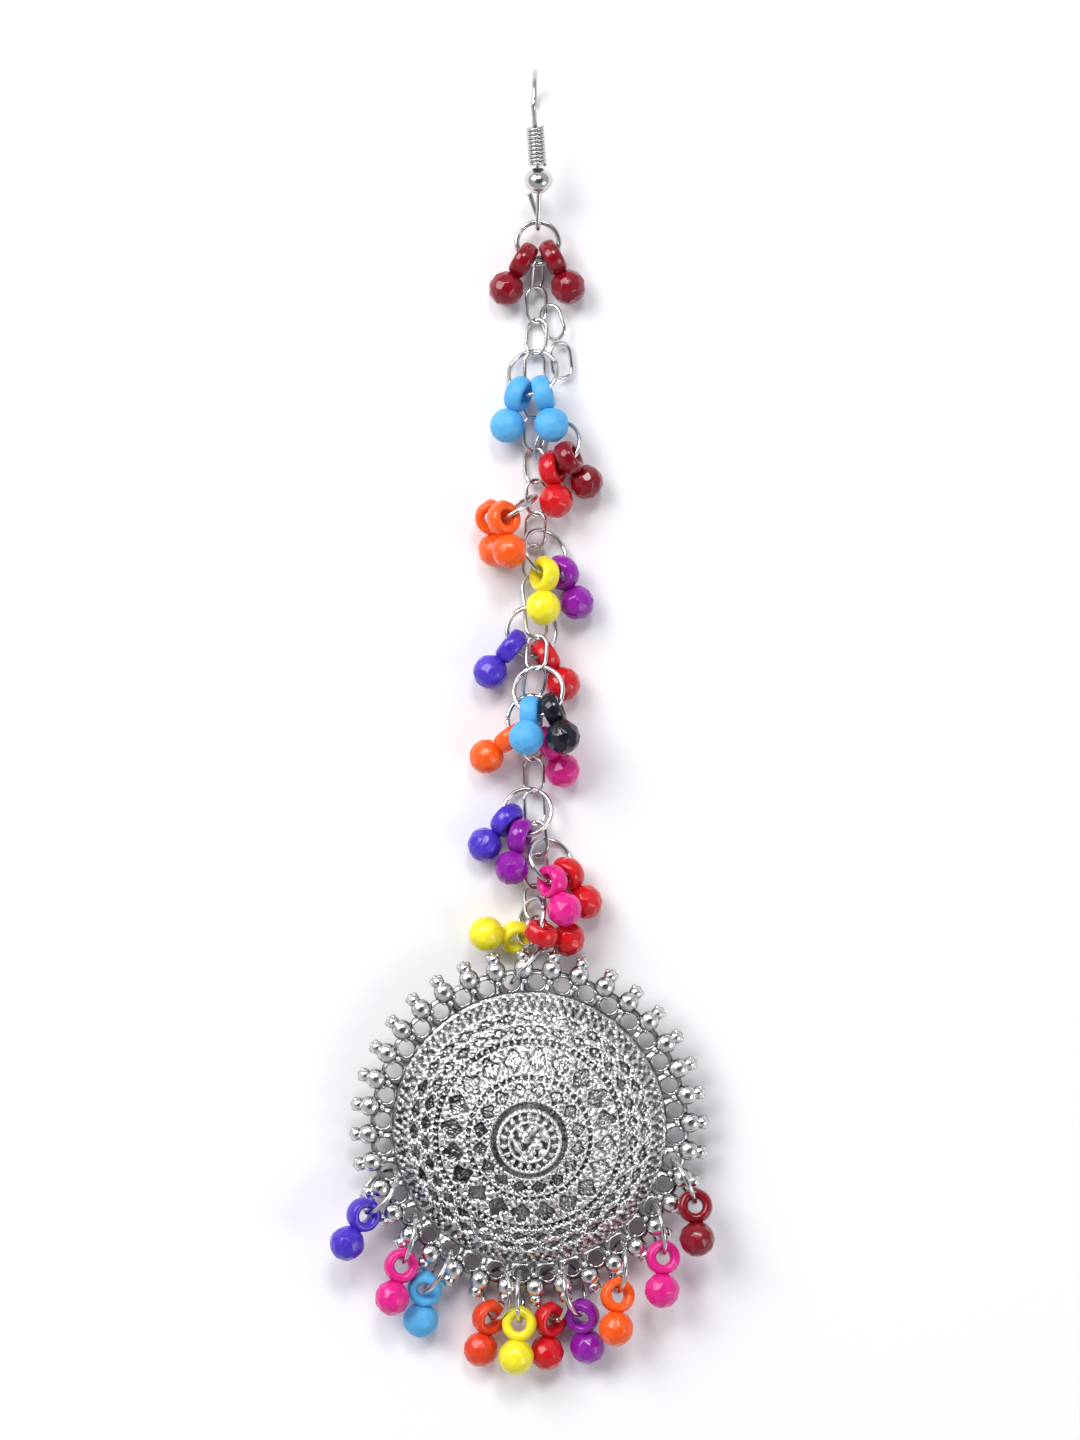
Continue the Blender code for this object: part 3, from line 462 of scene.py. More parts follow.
grip = (RING_WIRE + LINK_WIRE) / 2 - SOLDER
chain_parts = [link_wire(middle + shift, wide, along) for middle, wide, along in links + tail]
for number, (link, side, bearing, heading, pitch, lean) in enumerate(CHAIN_RINGS):
    middle, wide, along = links[link]
    if side:
        held = middle + wide * math.copysign(link_radius - grip, side * wide[0])
    else:
        held = middle - along * ((LINK_LENGTH - LINK_WIRE) / 2 - grip)
    way, other = ring_axes(*np.radians((heading, pitch, lean)))
    bearing = math.radians(bearing)
    centre = held - ring_radius * (math.cos(bearing) * way + math.sin(bearing) * other) + shift
    gap_angle = CHAIN_GAP_TURN * number
    chain_parts.append(jump_ring(centre, np.cross(way, other), ring_radius, RING_WIRE, gap_angle))
chain = build("chain_links", *gathered(chain_parts), plating)
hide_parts("chain")
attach(chain, "root")


# Drops. Each is a ball with flat facets under a thick loop, moulded in one piece from plastic of one colour,
# with the mould's seam round both and a rough mark where the sprue was cut from the loop's top.
BALL_RADIUS = 1.85
LOOP_OUTER = 3.6
LOOP_HOLE = 1.5
LOOP_THICKNESS = 1.9
LOOP_MARGIN = 0.05
BALL_SINK = 0.22
BALL_REACH = LOOP_OUTER / 2 + BALL_RADIUS - BALL_SINK
BALL_ROWS, BALL_COLUMNS = 60, 96
LOOP_ROWS, LOOP_COLUMNS = 56, 20
GOLD = (1 + math.sqrt(5)) / 2

# Facets: how far their planes lie from the ball's middle, as a share of its radius, how crisp their borders
# are, and the least cosine to a facet's direction that is counted
FACET_DEPTH = 0.95
FACET_POWER = 240
LEAST_COSINE = 0.05

# The mould's seam, its widths as shares of the ball's radius and of half the loop's thickness, the loop's
# squareness, and the sprue's mark, whose width is in radians
SEAM_HEIGHT = 0.045
BALL_SEAM_WIDTH = 0.045
LOOP_SEAM_WIDTH = 0.16
LOOP_SQUARENESS = 0.8
SPRUE_WIDTH = 0.22
SPRUE_HEIGHT = 0.1
SPRUE_ROUGHNESS = 0.12

# Gloss of the plastic; a drop rougher than the limit has no clear skin
SUBSURFACE = 0.06
SUBSURFACE_REACH = (0.4, 0.3, 0.3)
MATT_LIMIT = 0.3
COAT = 0.2
COAT_ROUGHNESS = 0.06
PLASTIC_SPECULAR = 0.38

# Colour, its darker shade, roughness and the share of the facets' depth that was left by the mould
DROP_LOOKS = {
    "wine": ((0.27, 0.004, 0.014), (0.19, 0.002, 0.009), 0.14, 1.0),
    "sky": ((0.11, 0.47, 0.84), (0.08, 0.39, 0.76), 0.42, 0.6),
    "red": ((0.70, 0.012, 0.018), (0.55, 0.006, 0.012), 0.14, 1.0),
    "orange": ((1.0, 0.13, 0.008), (0.9, 0.09, 0.004), 0.22, 0.8),
    "ember": ((0.85, 0.062, 0.016), (0.7, 0.04, 0.01), 0.2, 0.9),
    "yellow": ((0.94, 0.86, 0.03), (0.85, 0.72, 0.015), 0.2, 0.5),
    "purple": ((0.31, 0.012, 0.40), (0.22, 0.006, 0.3), 0.14, 1.0),
    "violet": ((0.082, 0.04, 0.60), (0.055, 0.025, 0.45), 0.2, 0.9),
    "black": ((0.012, 0.014, 0.024), (0.006, 0.007, 0.012), 0.1, 1.0),
    "pink": ((0.82, 0.018, 0.29), (0.68, 0.01, 0.22), 0.18, 1.0),
}


def facet_ways():
    """The 62 facet directions: an icosahedron's corners, the middles of its faces, and those of its edges."""
    g, s = GOLD, 1 / GOLD
    signs = [(a, b) for a in (-1, 1) for b in (-1, 1)]
    corners = [way for a, b in signs for way in ((0, a, b * g), (a, b * g, 0), (b * g, 0, a))]
    sides = [way for a, b in signs for way in ((0, a * s, b * g), (a * s, b * g, 0), (b * g, 0, a * s))]
    sides += [(a, b, c) for a, b in signs for c in (-1, 1)]
    ways = np.array(corners + sides, dtype=float)
    ways /= np.linalg.norm(ways, axis=1)[:, None]
    # Two corners share an edge where the cosine between them is 0.447, the only one between 0.4 and 0.9
    cosine = ways[: len(corners)] @ ways[: len(corners)].T
    first, second = np.nonzero(np.triu((cosine > 0.4) & (cosine < 0.9)))
    middles = ways[first] + ways[second]
    return np.vstack((ways, middles / np.linalg.norm(middles, axis=1)[:, None]))


def faceted_ball(turn, sharpness):
    """A ball whose radius along each direction is the sphere's, cut back to the nearest facet plane, plus a
    low seam in the loop's plane; turn is the facets' rotation. A plane is reached at depth over the cosine to
    its direction, and the nearest is the soft minimum (sum of reach^-power)^(-1/power)."""
    a = np.linspace(0, np.pi, BALL_ROWS)[:, None]
    b = np.arange(BALL_COLUMNS)[None] * 2 * np.pi / BALL_COLUMNS
    way = np.stack((np.sin(a) * np.cos(b), np.cos(a) + 0 * b, np.sin(a) * np.sin(b)), axis=-1)
    planes = facet_ways() @ turn.T
    reach = FACET_DEPTH / np.clip(way @ planes.T, LEAST_COSINE, None)
    cut = (reach**-FACET_POWER).sum(axis=-1) ** (-1 / FACET_POWER)
    size = 1 + (np.minimum(1.0, cut) - 1) * sharpness
    seam = SEAM_HEIGHT * np.exp(-((way[..., 2] / BALL_SEAM_WIDTH) ** 2))
    points = way * (BALL_RADIUS * size + seam)[..., None]
    return points.reshape(-1, 3) + (0, -BALL_REACH, 0), grid_faces(BALL_ROWS, BALL_COLUMNS)


def cast_loop(seed):
    """The loop: a rounded bar carried round a circle, with the seam along its outer edge and a rough stump
    where the sprue was cut at its top. The bar's section is (cos v, sin v), each raised to a power."""
    rng = np.random.default_rng(seed)
    u = np.arange(LOOP_ROWS)[:, None] * 2 * np.pi / LOOP_ROWS
    v = np.arange(LOOP_COLUMNS)[None] * 2 * np.pi / LOOP_COLUMNS
    middle = (LOOP_OUTER + LOOP_HOLE) / 4
    half = (LOOP_OUTER - LOOP_HOLE) / 4
    across = np.sign(np.cos(v)) * np.abs(np.cos(v)) ** LOOP_SQUARENESS
    along = np.sign(np.sin(v)) * np.abs(np.sin(v)) ** LOOP_SQUARENESS
    sprue = np.exp(-(((u - np.pi / 2) / SPRUE_WIDTH) ** 2)) * np.clip(across, 0, 1)
    sprue = sprue * (SPRUE_HEIGHT + SPRUE_ROUGHNESS * rng.random((LOOP_ROWS, LOOP_COLUMNS)))
    seam = SEAM_HEIGHT * np.exp(-((along / LOOP_SEAM_WIDTH) ** 2)) * (across > 0)
    out = middle + half * across + seam + sprue
    points = np.stack((out * np.cos(u), out * np.sin(u), LOOP_THICKNESS / 2 * along + 0 * u), axis=-1)
    return points.reshape(-1, 3), grid_faces(LOOP_ROWS, LOOP_COLUMNS, wrap_rows=True)


def drop_pose(points):
    """Axes and loop middle of a drop from its CAD points: the long way runs from ball to loop, the loop's
    hole along the thinnest, and the ball's middle is that of its wide part."""
    middle, axes = own_axes(points)
    local = (points - middle) @ axes.T
    belly = local[np.abs(local[:, 2]) > LOOP_THICKNESS / 2 + LOOP_MARGIN]
    centre = (belly.max(axis=0) + belly.min(axis=0)) / 2
    way = -1 if centre[0] > local[:, 0].mean() else 1
    up = axes[0] * way
    hole = axes[2]
    ball = middle + centre @ axes
    return np.array((np.cross(up, hole), up, hole)), ball + up * BALL_REACH


def two_toned(tree, shader, first, second, share):
    """Feeds the shader's colour with a mix of two colours; share is 0 for the first and 1 for the second.
    The node has several sockets of one name, so its share is socket 0 and its colours are 6, 7 and out 2."""
    mix = tree.nodes.new("ShaderNodeMix")
    mix.data_type = "RGBA"
    mix.inputs[6].default_value = (*first, 1)
    mix.inputs[7].default_value = (*second, 1)
    tree.links.new(share, mix.inputs[0])
    tree.links.new(mix.outputs[2], shader.inputs["Base Color"])


drop_materials = {}
for colour, (light, dark, roughness, sharpness) in DROP_LOOKS.items():
    material, tree, shader = new_material(f"drop_{colour}", light, roughness)
    two_toned(tree, shader, light, dark, noise_between(tree, scale=700, low=0.0, high=1.0))
    sheen = noise_between(tree, scale=2400, low=roughness * 0.75, high=roughness * 1.5)
    tree.links.new(sheen, shader.inputs["Roughness"])
    shader.inputs["Subsurface Weight"].default_value = SUBSURFACE
    shader.inputs["Subsurface Radius"].default_value = [reach * MM for reach in SUBSURFACE_REACH]
    shader.inputs["Coat Weight"].default_value = COAT if roughness < MATT_LIMIT else 0.0
    shader.inputs["Coat Roughness"].default_value = COAT_ROUGHNESS
    shader.inputs["Specular IOR Level"].default_value = PLASTIC_SPECULAR
    bumped(tree, shader, noise_between(tree, scale=3200, low=0.0, high=1.0), strength=0.2, distance=0.02)
    drop_materials[colour] = material

slot_of = {row["node"]: row["material_slot"] for row in frame["record"]["subparts"]}
drop_names = sorted(name for name in frame["nodes"] if "charm" in name)
for number, node in enumerate(drop_names):
    colour = slot_of[node].removeprefix("drop_")
    rng = np.random.default_rng(number)
    turn = np.linalg.qr(rng.normal(size=(3, 3)))[0]
    axes, loop_place = drop_pose(node_points(node))
    sharpness = DROP_LOOKS[colour][3]
    points, faces = gathered((faceted_ball(turn, sharpness), cast_loop(number)))
    drop = build(f"{node}_moulded", points @ axes + loop_place, faces, drop_materials[colour])
    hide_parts(node)
    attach(drop, "root")


# Disc. One zinc casting, silvered and then darkened in its hollows: a domed medallion with rings of cells,
# ropes and dots round a raised boss, an edge pierced by 36 holes, and a fringe of grains outside them. Its
# back is flat and open under the dome.
DOME_RADIUS = 14.4
DOME_HEIGHT = 7.4
DOME_WALL = 1.2
DOME_LEAN = 0.075
HOLE_COUNT = 36
HOLE_RADIUS = 0.8
DISC_ROWS, DISC_COLUMNS = 126, 700
SILVER = (0.82, 0.82, 0.81)
SILVER_ROUGHNESS = 0.2
OXIDE = (0.035, 0.036, 0.042)

# Height of the dome's smooth surface under its relief, at shares of its radius
DOME_CURVE = (
    (0.0, 0.985),
    (0.14, 0.985),
    (0.235, 0.93),
    (0.262, 0.84),
    (0.30, 0.83),
    (0.44, 0.735),
    (0.55, 0.63),
    (0.66, 0.53),
    (0.79, 0.40),
    (0.89, 0.30),
    (0.94, 0.21),
    (1.0, 0.115),
)

silver, silver_tree, silver_shader = new_material("antique_silver", SILVER, SILVER_ROUGHNESS, 1.0)
# The silver reads its darkening from a point attribute. It holds patina in the hollows, painted shade on the
# fringe's grains, and a painted highlight and painted glints on the dome.
darkness = silver_tree.nodes.new("ShaderNodeAttribute")
darkness.attribute_name = "patina_and_painted_light"
blotch = silver_tree.nodes.new("ShaderNodeMath")
blotch.operation = "MULTIPLY"
silver_tree.links.new(noise_between(silver_tree, scale=420, low=0.72, high=1.15), blotch.inputs[0])
silver_tree.links.new(darkness.outputs["Fac"], blotch.inputs[1])
two_toned(silver_tree, silver_shader, SILVER, OXIDE, blotch.outputs[0])
silver_sheen = noise_between(silver_tree, scale=1500, low=0.1, high=0.26)
silver_tree.links.new(silver_sheen, silver_shader.inputs["Roughness"])
silver_grain = noise_between(silver_tree, scale=2300, low=0.0, high=1.0, detail=6.0)
bumped(silver_tree, silver_shader, silver_grain, strength=0.5, distance=0.04)


def placed_on_disc(points):
    """Points in the disc's own frame, its back plane at height 0, brought to the earring's frame."""
    return np.asarray(points) @ np.array((disc_x, disc_y, disc_z)) + disc_middle + shift


def smooth_step(low, high, x):
    """0 below the low value, 1 above the high one, and between them t t (3 - 2 t)."""
    t = np.clip((x - low) / (high - low), 0, 1)
    return t * t * (3 - 2 * t)


def round_ridge(r, at, half_width, height):
    """A ridge along the circle of a radius, in section half an oval: height sqrt(1 - (off/half width)^2)."""
    return height * np.sqrt(np.clip(1 - ((r - at) / half_width) ** 2, 0, None))


def rope(r, t, at, half_width, height, strands):
    """A ridge whose crest is cut aslant, as if it were twisted from strands: the ridge is made lower by
    the size of a sine that runs round the circle and shifts across it."""
    twist = np.abs(np.sin(strands * t / 2 + 2.2 * (r - at) / half_width))
    return round_ridge(r, at, half_width, height) * (0.55 + 0.45 * twist)


def dots(r, t, at, count, radius, height, phase):
    """A row of half balls on the circle of a radius, evenly spaced round it. Sines of a dot's number put it
    a little to either side of the circle and make it a little higher or lower."""
    step = 2 * np.pi / count
    off = (t - phase + step / 2) % step - step / 2
    number = np.round((t - phase) / step)
    away = np.hypot(r - at - 0.04 * np.sin(3.9 * number), at * off)
    return height * (1 + 0.2 * np.sin(2.7 * number)) * np.sqrt(np.clip(1 - (away / radius) ** 2, 0, None))


def cells(r, t, low, high, count, wall, phase):
    """A band of sunk cells, each a star of four blunt points with a ring of beads round it. With rho 1 on an
    oval that fills the cell, and phi the angle about the cell's middle, the floor ends at
    edge = 1 + 0.13 cos(4 phi) + 0.09 cos(3 phi + 1.7 n), and the beads are 0.5 + 0.5 cos(11 phi + n), where
    n is the cell's number."""
    step = 2 * np.pi / count
    number = np.floor((t - phase) / step)
    u = ((t - phase) / step - number - 0.5) * step * (low + high) / 2
    v = r - (low + high) / 2
    u = u / (step * (low + high) / 4 - wall)
    v = v / ((high - low) / 2 - 0.75 * wall)
    phi = np.arctan2(v, u)
    edge = 1 + 0.13 * np.cos(4 * phi) + 0.09 * np.cos(3 * phi + 1.7 * number)
    share = np.hypot(u, v) / edge
    beads = (0.5 + 0.5 * np.cos(11 * phi + number)) * smooth_step(0.9, 1.15, share)
    inside = (r > low) & (r < high)
    return np.where(inside, smooth_step(0.82, 1.08, share) * (0.22 + 0.28 * beads), 0.0)


# The casting's relief, in bands from the middle outwards
BOSS_RADIUS = 1.98
BOSS_RIM = (2.08, 0.17, 0.46)
GROOVE_START, GROOVE_END = 3.46, 3.96
GROOVE_DEPTH = 0.1
BORDER_START, BORDER_HEIGHT = 14.0, 0.2
FLOOR_DEPTH = 0.3

# Ropes: radius, half width, height and strands
ROPES = (
    (3.2, 0.24, 0.52, 40),
    (4.16, 0.2, 0.5, 56),
    (6.04, 0.14, 0.44, 64),
    (6.68, 0.14, 0.44, 72),
    (9.4, 0.15, 0.46, 100),
    (10.12, 0.14, 0.44, 110),
    (12.7, 0.16, 0.46, 130),
)

# Bands of cells: inner and outer radius, count, width of the walls, and the angle at which the first begins
CELL_BANDS = (
    (4.28, 6.0, 16, 0.3, 0.0),
    (6.76, 9.36, 20, 0.36, 0.05),
    (10.2, 11.5, 32, 0.3, 0.0),
    (11.4, 12.68, 32, 0.32, np.pi / 32),
)

# Rows of dots: radius of the row, count, radius and height of a dot, and the angle of the first
DOT_ROWS = (
    (1.2, 7, 0.3, 0.5, 0.0),
    (2.62, 18, 0.34, 0.52, 0.0),
    (5.75, 16, 0.3, 0.5, 0.0),
    (6.36, 50, 0.19, 0.42, 0.0),
    (7.0, 20, 0.32, 0.46, 0.05),
    (8.4, 20, 0.24, 0.44, 0.05),
    (9.05, 20, 0.4, 0.5, 0.05),
    (9.77, 84, 0.19, 0.42, 0.0),
    (11.46, 32, 0.3, 0.48, 0.0),
    (12.4, 32, 0.26, 0.46, np.pi / 32),
    (13.06, 96, 0.32, 0.46, 0.0),
    (13.46, 74, 0.27, 0.42, 0.02),
    (13.86, 100, 0.3, 0.36, 0.03),
)


def relief(r, t):
    """The relief over the smooth dome: the highest form at each place, over a floor that lies lower than the
    smooth dome. The swirl on the boss is a sine along x times one along y, plus a third aslant."""
    r, t = np.broadcast_arrays(r, t)
    x, y = r * np.sin(t), r * np.cos(t)
    swirl = 0.24 + 0.24 * np.sin(3.6 * x + 0.7) * np.sin(3.1 * y - 0.4) + 0.14 * np.sin(5.1 * x - 2.6 * y)
    forms = [
        np.where(r < BOSS_RADIUS, swirl, 0.0),
        round_ridge(r, *BOSS_RIM),
        np.where(r > BORDER_START, BORDER_HEIGHT, 0.0),
    ]
    forms += [rope(r, t, *row) for row in ROPES]
    forms += [cells(r, t, *row) for row in CELL_BANDS]
    forms += [dots(r, t, *row) for row in DOT_ROWS]
    groove = np.where((r > GROOVE_START) & (r < GROOVE_END), GROOVE_DEPTH, 0.0)
    return np.maximum.reduce(forms) - FLOOR_DEPTH - groove


# Roughness of the cast skin on the high forms and in the hollows, and the plain spot in the very middle
SKIN_ON_TOP = 0.01
SKIN_IN_HOLLOWS = 0.035
PLAIN_MIDDLE = 0.12

# Darkening: the heights of the relief between which it sets in, how far off a narrow hollow's walls stand and
# by how much they are higher, the most that any place has, and the open back's
SINK_START, SINK_END = -0.27, 0.0
CAVITY_REACH = 0.24
CAVITY_START, CAVITY_END = 0.01, 0.13
MOST_PATINA = 0.94
BACK_PATINA = 0.25
GROOVE_MARGIN = 0.05

# The hollow back: radii as shares of the wall's inner radius, and how far it lies under the smooth dome
BACK_SHARES = (1.0, 0.95, 0.9, 0.84, 0.7, 0.58, 0.45, 0.3, 0.15, 0.0)
BACK_DEPTH = 1.45 * DOME_WALL

# The dome: one shell, its worked outside carried down over the edge, under the rim and up its plain inside
disc_t = np.arange(DISC_COLUMNS)[None] * 2 * np.pi / DISC_COLUMNS
disc_r = np.linspace(0, DOME_RADIUS, DISC_ROWS)[:, None]
curve_r, curve_z = np.array(DOME_CURVE).T
worked = relief(disc_r, disc_t)
rough = np.random.default_rng(7).normal(size=worked.shape)
beside = np.roll(rough, 1, axis=1) + np.roll(rough, 1, axis=0)
rough = (rough + beside + np.roll(rough, (1, 1), axis=(0, 1))) / 2
sunk = 1 - smooth_step(SINK_START, SINK_END, worked)
worked = worked + rough * (SKIN_ON_TOP + SKIN_IN_HOLLOWS * sunk)
worked = worked * smooth_step(0, PLAIN_MIDDLE, disc_r)

# The darkening is thinnest at the right and deepest at the left, and the top of the dome is lightened as a
# painted highlight. What stays is 0.74 of it, 0.17 more or less from side to side, 0.14 in patches, and up to
# 0.36 less at the top.
patches = np.sin(7 * disc_t + 0.8 * disc_r) * np.sin(1.3 * disc_r - 4 * disc_t + 1)
painted_top_highlight = np.exp(-(1 - np.cos(disc_t + 0.1)) / 0.1)
wear_and_top_highlight = 0.74 + 0.17 * np.cos(disc_t - 1.75) + 0.14 * patches - 0.36 * painted_top_highlight
glints = 1 - 0.5 * smooth_step(0.8, 1.6, rough)

# It also stays in every narrow hollow: where the places a quarter of a millimetre away lie higher
near_by = (np.roll(worked, 2, axis=0) + np.roll(worked, -2, axis=0)) / 4
for row, radius in enumerate(disc_r[:, 0]):
    reach = int(np.clip(round(CAVITY_REACH * DISC_COLUMNS / (2 * np.pi * max(radius, 0.3))), 1, 60))
    near_by[row] += (np.roll(worked[row], reach) + np.roll(worked[row], -reach)) / 4
hollow = smooth_step(CAVITY_START, CAVITY_END, near_by - worked)
hollow[:2] = hollow[-2:] = 0
dark = np.clip(sunk * wear_and_top_highlight * glints + (0.3 + 0.5 * wear_and_top_highlight) * hollow, 0, MOST_PATINA)
in_groove = (disc_r > GROOVE_START - GROOVE_MARGIN) & (disc_r < GROOVE_END + GROOVE_MARGIN)
dark = np.where(in_groove, dark * (0.3 + 0.6 * np.sin(disc_t - 0.5) ** 2), dark)

outside_z = np.interp(disc_r, curve_r * DOME_RADIUS, curve_z * DOME_HEIGHT) + worked
inside_r = np.array(BACK_SHARES)[:, None] * (DOME_RADIUS - DOME_WALL)
inside_z = np.interp(inside_r, curve_r * DOME_RADIUS, curve_z * DOME_HEIGHT) - BACK_DEPTH
inside_z = np.clip(inside_z, 0, None)
inside_z[0] = 0
shell_r = np.vstack((disc_r, [[DOME_RADIUS]], inside_r))
shell_z = np.vstack((outside_z, np.zeros((1, DISC_COLUMNS)), np.repeat(inside_z, DISC_COLUMNS, axis=1)))
shell_y = shell_r * np.cos(disc_t) - DOME_LEAN * shell_z
shell = np.stack((-shell_r * np.sin(disc_t), shell_y, shell_z), axis=-1)
# The dome's darkening holds patina, lightened at the top as a painted highlight and in spots as painted
# glints. The back has one plain value.
patina_and_painted_light = np.vstack((dark, np.full((len(inside_r) + 1, DISC_COLUMNS), BACK_PATINA)))
dome = build(
    "disc_dome",
    placed_on_disc(shell.reshape(-1, 3)),
    grid_faces(len(shell_r), DISC_COLUMNS),
    silver,
    values=patina_and_painted_light.ravel(),
)

# Section of the washer round a hole: share of the way out from the hole's wall, height and patina
WASHER_SECTION = (
    (0.0, 0.12, 0.9),
    (0.0, 0.6, 0.8),
    (0.06, 0.85, 0.4),
    (0.18, 0.98, 0.05),
    (0.45, 0.88, 0.5),
    (0.8, 0.78, 0.85),
    (1.0, 0.72, 0.85),
    (1.0, 0.05, 0.5),
    (0.9, 0.0, 0.3),
    (0.1, 0.0, 0.3),
)
WASHER_STEPS = 40

# How far the washers run under the dome's rim and into each other, how square a sector's corners are, how far
# the scalloped edge reaches straight outwards and, beyond that, at a washer's sides, and the least sine or
# cosine that a reach is divided by
DOME_OVERLAP = 0.2
SECTOR_OVERLAP = 1.03
CORNER_POWER = 6
SCALLOP = 1.32
SCALLOP_SIDES = 0.3
LEAST_SINE = 1e-6

# The pierced edge: one washer round each hole, from the hole's wall out to its sector's four sides and back.
# The edge is the soft minimum of the ways to the sides and to the ends, and outwards a round scallop.
washer_u = np.arange(WASHER_STEPS)[None] * 2 * np.pi / WASHER_STEPS
section_out, section_z, section_dark = (column[:, None] for column in np.array(WASHER_SECTION).T)
half_pitch = np.pi / HOLE_COUNT
outwards = np.cos(washer_u) > 0
side_reach = HOLE_CIRCLE_RADIUS * np.tan(half_pitch)
side_reach = side_reach / np.clip(np.abs(np.sin(washer_u)), LEAST_SINE, None)
inner_reach = HOLE_CIRCLE_RADIUS - DOME_RADIUS + DOME_OVERLAP
end_reach = np.where(outwards, DISC_EDGE_RADIUS - HOLE_CIRCLE_RADIUS, inner_reach)
end_reach = end_reach / np.clip(np.abs(np.cos(washer_u)), LEAST_SINE, None)
sector_edge = (side_reach**-CORNER_POWER + end_reach**-CORNER_POWER) ** (-1 / CORNER_POWER) * SECTOR_OVERLAP
scallop_edge = SCALLOP + SCALLOP_SIDES * np.sin(washer_u) ** 4
sector_edge = np.where(outwards, np.minimum(sector_edge, scallop_edge), sector_edge)
washer_reach = HOLE_RADIUS + (sector_edge - HOLE_RADIUS) * section_out
washer_faces = grid_faces(len(WASHER_SECTION), WASHER_STEPS, wrap_rows=True)
washer_parts = []
for hole in range(HOLE_COUNT):
    radial = HOLE_CIRCLE_RADIUS + washer_reach * np.cos(washer_u)
    angle = HOLE_PHASE + 2 * half_pitch * hole + washer_reach * np.sin(washer_u) / HOLE_CIRCLE_RADIUS
    washer = np.stack((-radial * np.sin(angle), radial * np.cos(angle), section_z + 0 * radial), axis=-1)
    washer_parts.append((washer.reshape(-1, 3), washer_faces))
points, faces = gathered(washer_parts)
washer_dark = np.tile((section_dark + 0 * washer_u).ravel(), HOLE_COUNT)
edge = build("disc_pierced_edge", placed_on_disc(points), faces, silver, values=washer_dark)

# The fringe: between each two holes a large grain, and outside it a lump of smaller ones. Places are outwards
# along the disc, and heights are over its back.
BIG_GRAIN = (2.1, 2.1, 1.8)
BIG_GRAIN_PLACE = 16.9
LUMP_PLACE = 18.1
GRAIN_LEVEL = 0.95
LUMP_LEVEL = GRAIN_LEVEL - 0.1

# Beads of a lump and of the neck inwards of the grain: across, outwards from the lump's middle, and width
LUMP_BEADS = (
    (0.0, 0.0, 1.45),
    (0.45, 0.34, 0.62),
    (-0.45, 0.34, 0.62),
    (0.0, 0.56, 0.56),
)
NECK_BEADS = ((0.0, -2.55, 0.8), (0.62, -2.2, 0.5), (-0.62, -2.2, 0.5))

# Rows and columns of faces for a large grain, a bead over the width given, and a smaller bead
GRAIN_FACES = (19, 30)
WIDE_BEAD, WIDE_BEAD_FACES = 1.0, (12, 18)
BEAD_FACES = (7, 10)

# A grain is darkened as painted shade, with patina at its foot where it meets the flange, from where its side
# has fallen away by these shares of its half height
GRAIN_PAINTED_SHADE = 0.92
GRAIN_DARK_START, GRAIN_DARK_END = 0.3, 0.85


def small_ball(place, size, rows, columns):
    """A ball of some width, or an oval if the size has three values, at a place on the disc: its points are
    (sin a cos b, sin a sin b, cos a) times half its size."""
    a = np.linspace(0, np.pi, rows)[:, None]
    b = np.arange(columns)[None] * 2 * np.pi / columns
    way = np.stack((np.sin(a) * np.cos(b), np.sin(a) * np.sin(b), np.cos(a) + 0 * b), axis=-1)
    points = way.reshape(-1, 3) * np.broadcast_to(size, 3) / 2
    return points + place, grid_faces(rows, columns)


grain_parts, grain_painted_shade = [], []
for grain in range(HOLE_COUNT):
    angle = HOLE_PHASE + 2 * half_pitch * (grain + 0.5)
    cosine, sine = math.cos(angle), math.sin(angle)
    turn = np.array(((cosine, sine, 0), (-sine, cosine, 0), (0, 0, 1)))
    own = [(small_ball((0, BIG_GRAIN_PLACE, GRAIN_LEVEL), BIG_GRAIN, *GRAIN_FACES), BIG_GRAIN[2] / 2)]
    for x, y, width in LUMP_BEADS + NECK_BEADS:
        face_counts = WIDE_BEAD_FACES if width > WIDE_BEAD else BEAD_FACES
        own.append((small_ball((x, LUMP_PLACE + y, LUMP_LEVEL), width, *face_counts), width / 2))
    for (points, faces), half in own:
        grain_parts.append((points @ turn, faces))
        rise = (points[:, 2] - points[:, 2].mean()) / half
        grain_painted_shade.append(GRAIN_PAINTED_SHADE * smooth_step(GRAIN_DARK_START, GRAIN_DARK_END, 1 - rise))
points, faces = gathered(grain_parts)
fringe = build("disc_grains", placed_on_disc(points), faces, silver, values=np.concatenate(grain_painted_shade))
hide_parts("disc")
for piece in (dome, edge, fringe):
    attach(piece, "root")


# Ear wire. One length of steel wire: a cut return end, a loop round the top ring's upper wire, a straight
# shank, and a bow that comes down beyond it to a tip cut off square.
HOOK_WIRE = 0.55
BOW_RADIUS = 3.5
SHANK_LOW = np.array((0.1, 3.6, 1.9))
SHANK_TOP = np.array((-0.25, 8.9, 3.4))
BOW_MIDDLE = np.array((-0.4, 12.0, 0))
RETURN_END = np.array((-0.9, 2.6, 0.3))
FLOOR_GAP = 0.05
BOW_LEAN = 0.03
HOOK_STEPS = 260
STEEL = (0.58, 0.565, 0.54)
STEEL_ROUGHNESS = 0.2

# Turns of the loop and of the bow: first angle, step to the next, both in degrees, and how many
EYE_TURN = (90, 27.5, 9)
BOW_TURN = (104, -15.5, 13)

steel, steel_tree, steel_shader = new_material("drawn_steel", STEEL, STEEL_ROUGHNESS, 1.0)
steel_sheen = noise_between(steel_tree, scale=1800, low=0.14, high=0.3)
steel_tree.links.new(steel_sheen, steel_shader.inputs["Roughness"])
steel_grain = noise_between(steel_tree, scale=4200, low=0.0, high=1.0, detail=6.0)
bumped(steel_tree, steel_shader, steel_grain, strength=0.25, distance=0.012)


def turn_angles(first, step, count):
    """Angles in radians of a bend's points, evenly spaced from the first."""
    return np.radians(first + np.arange(count) * step)


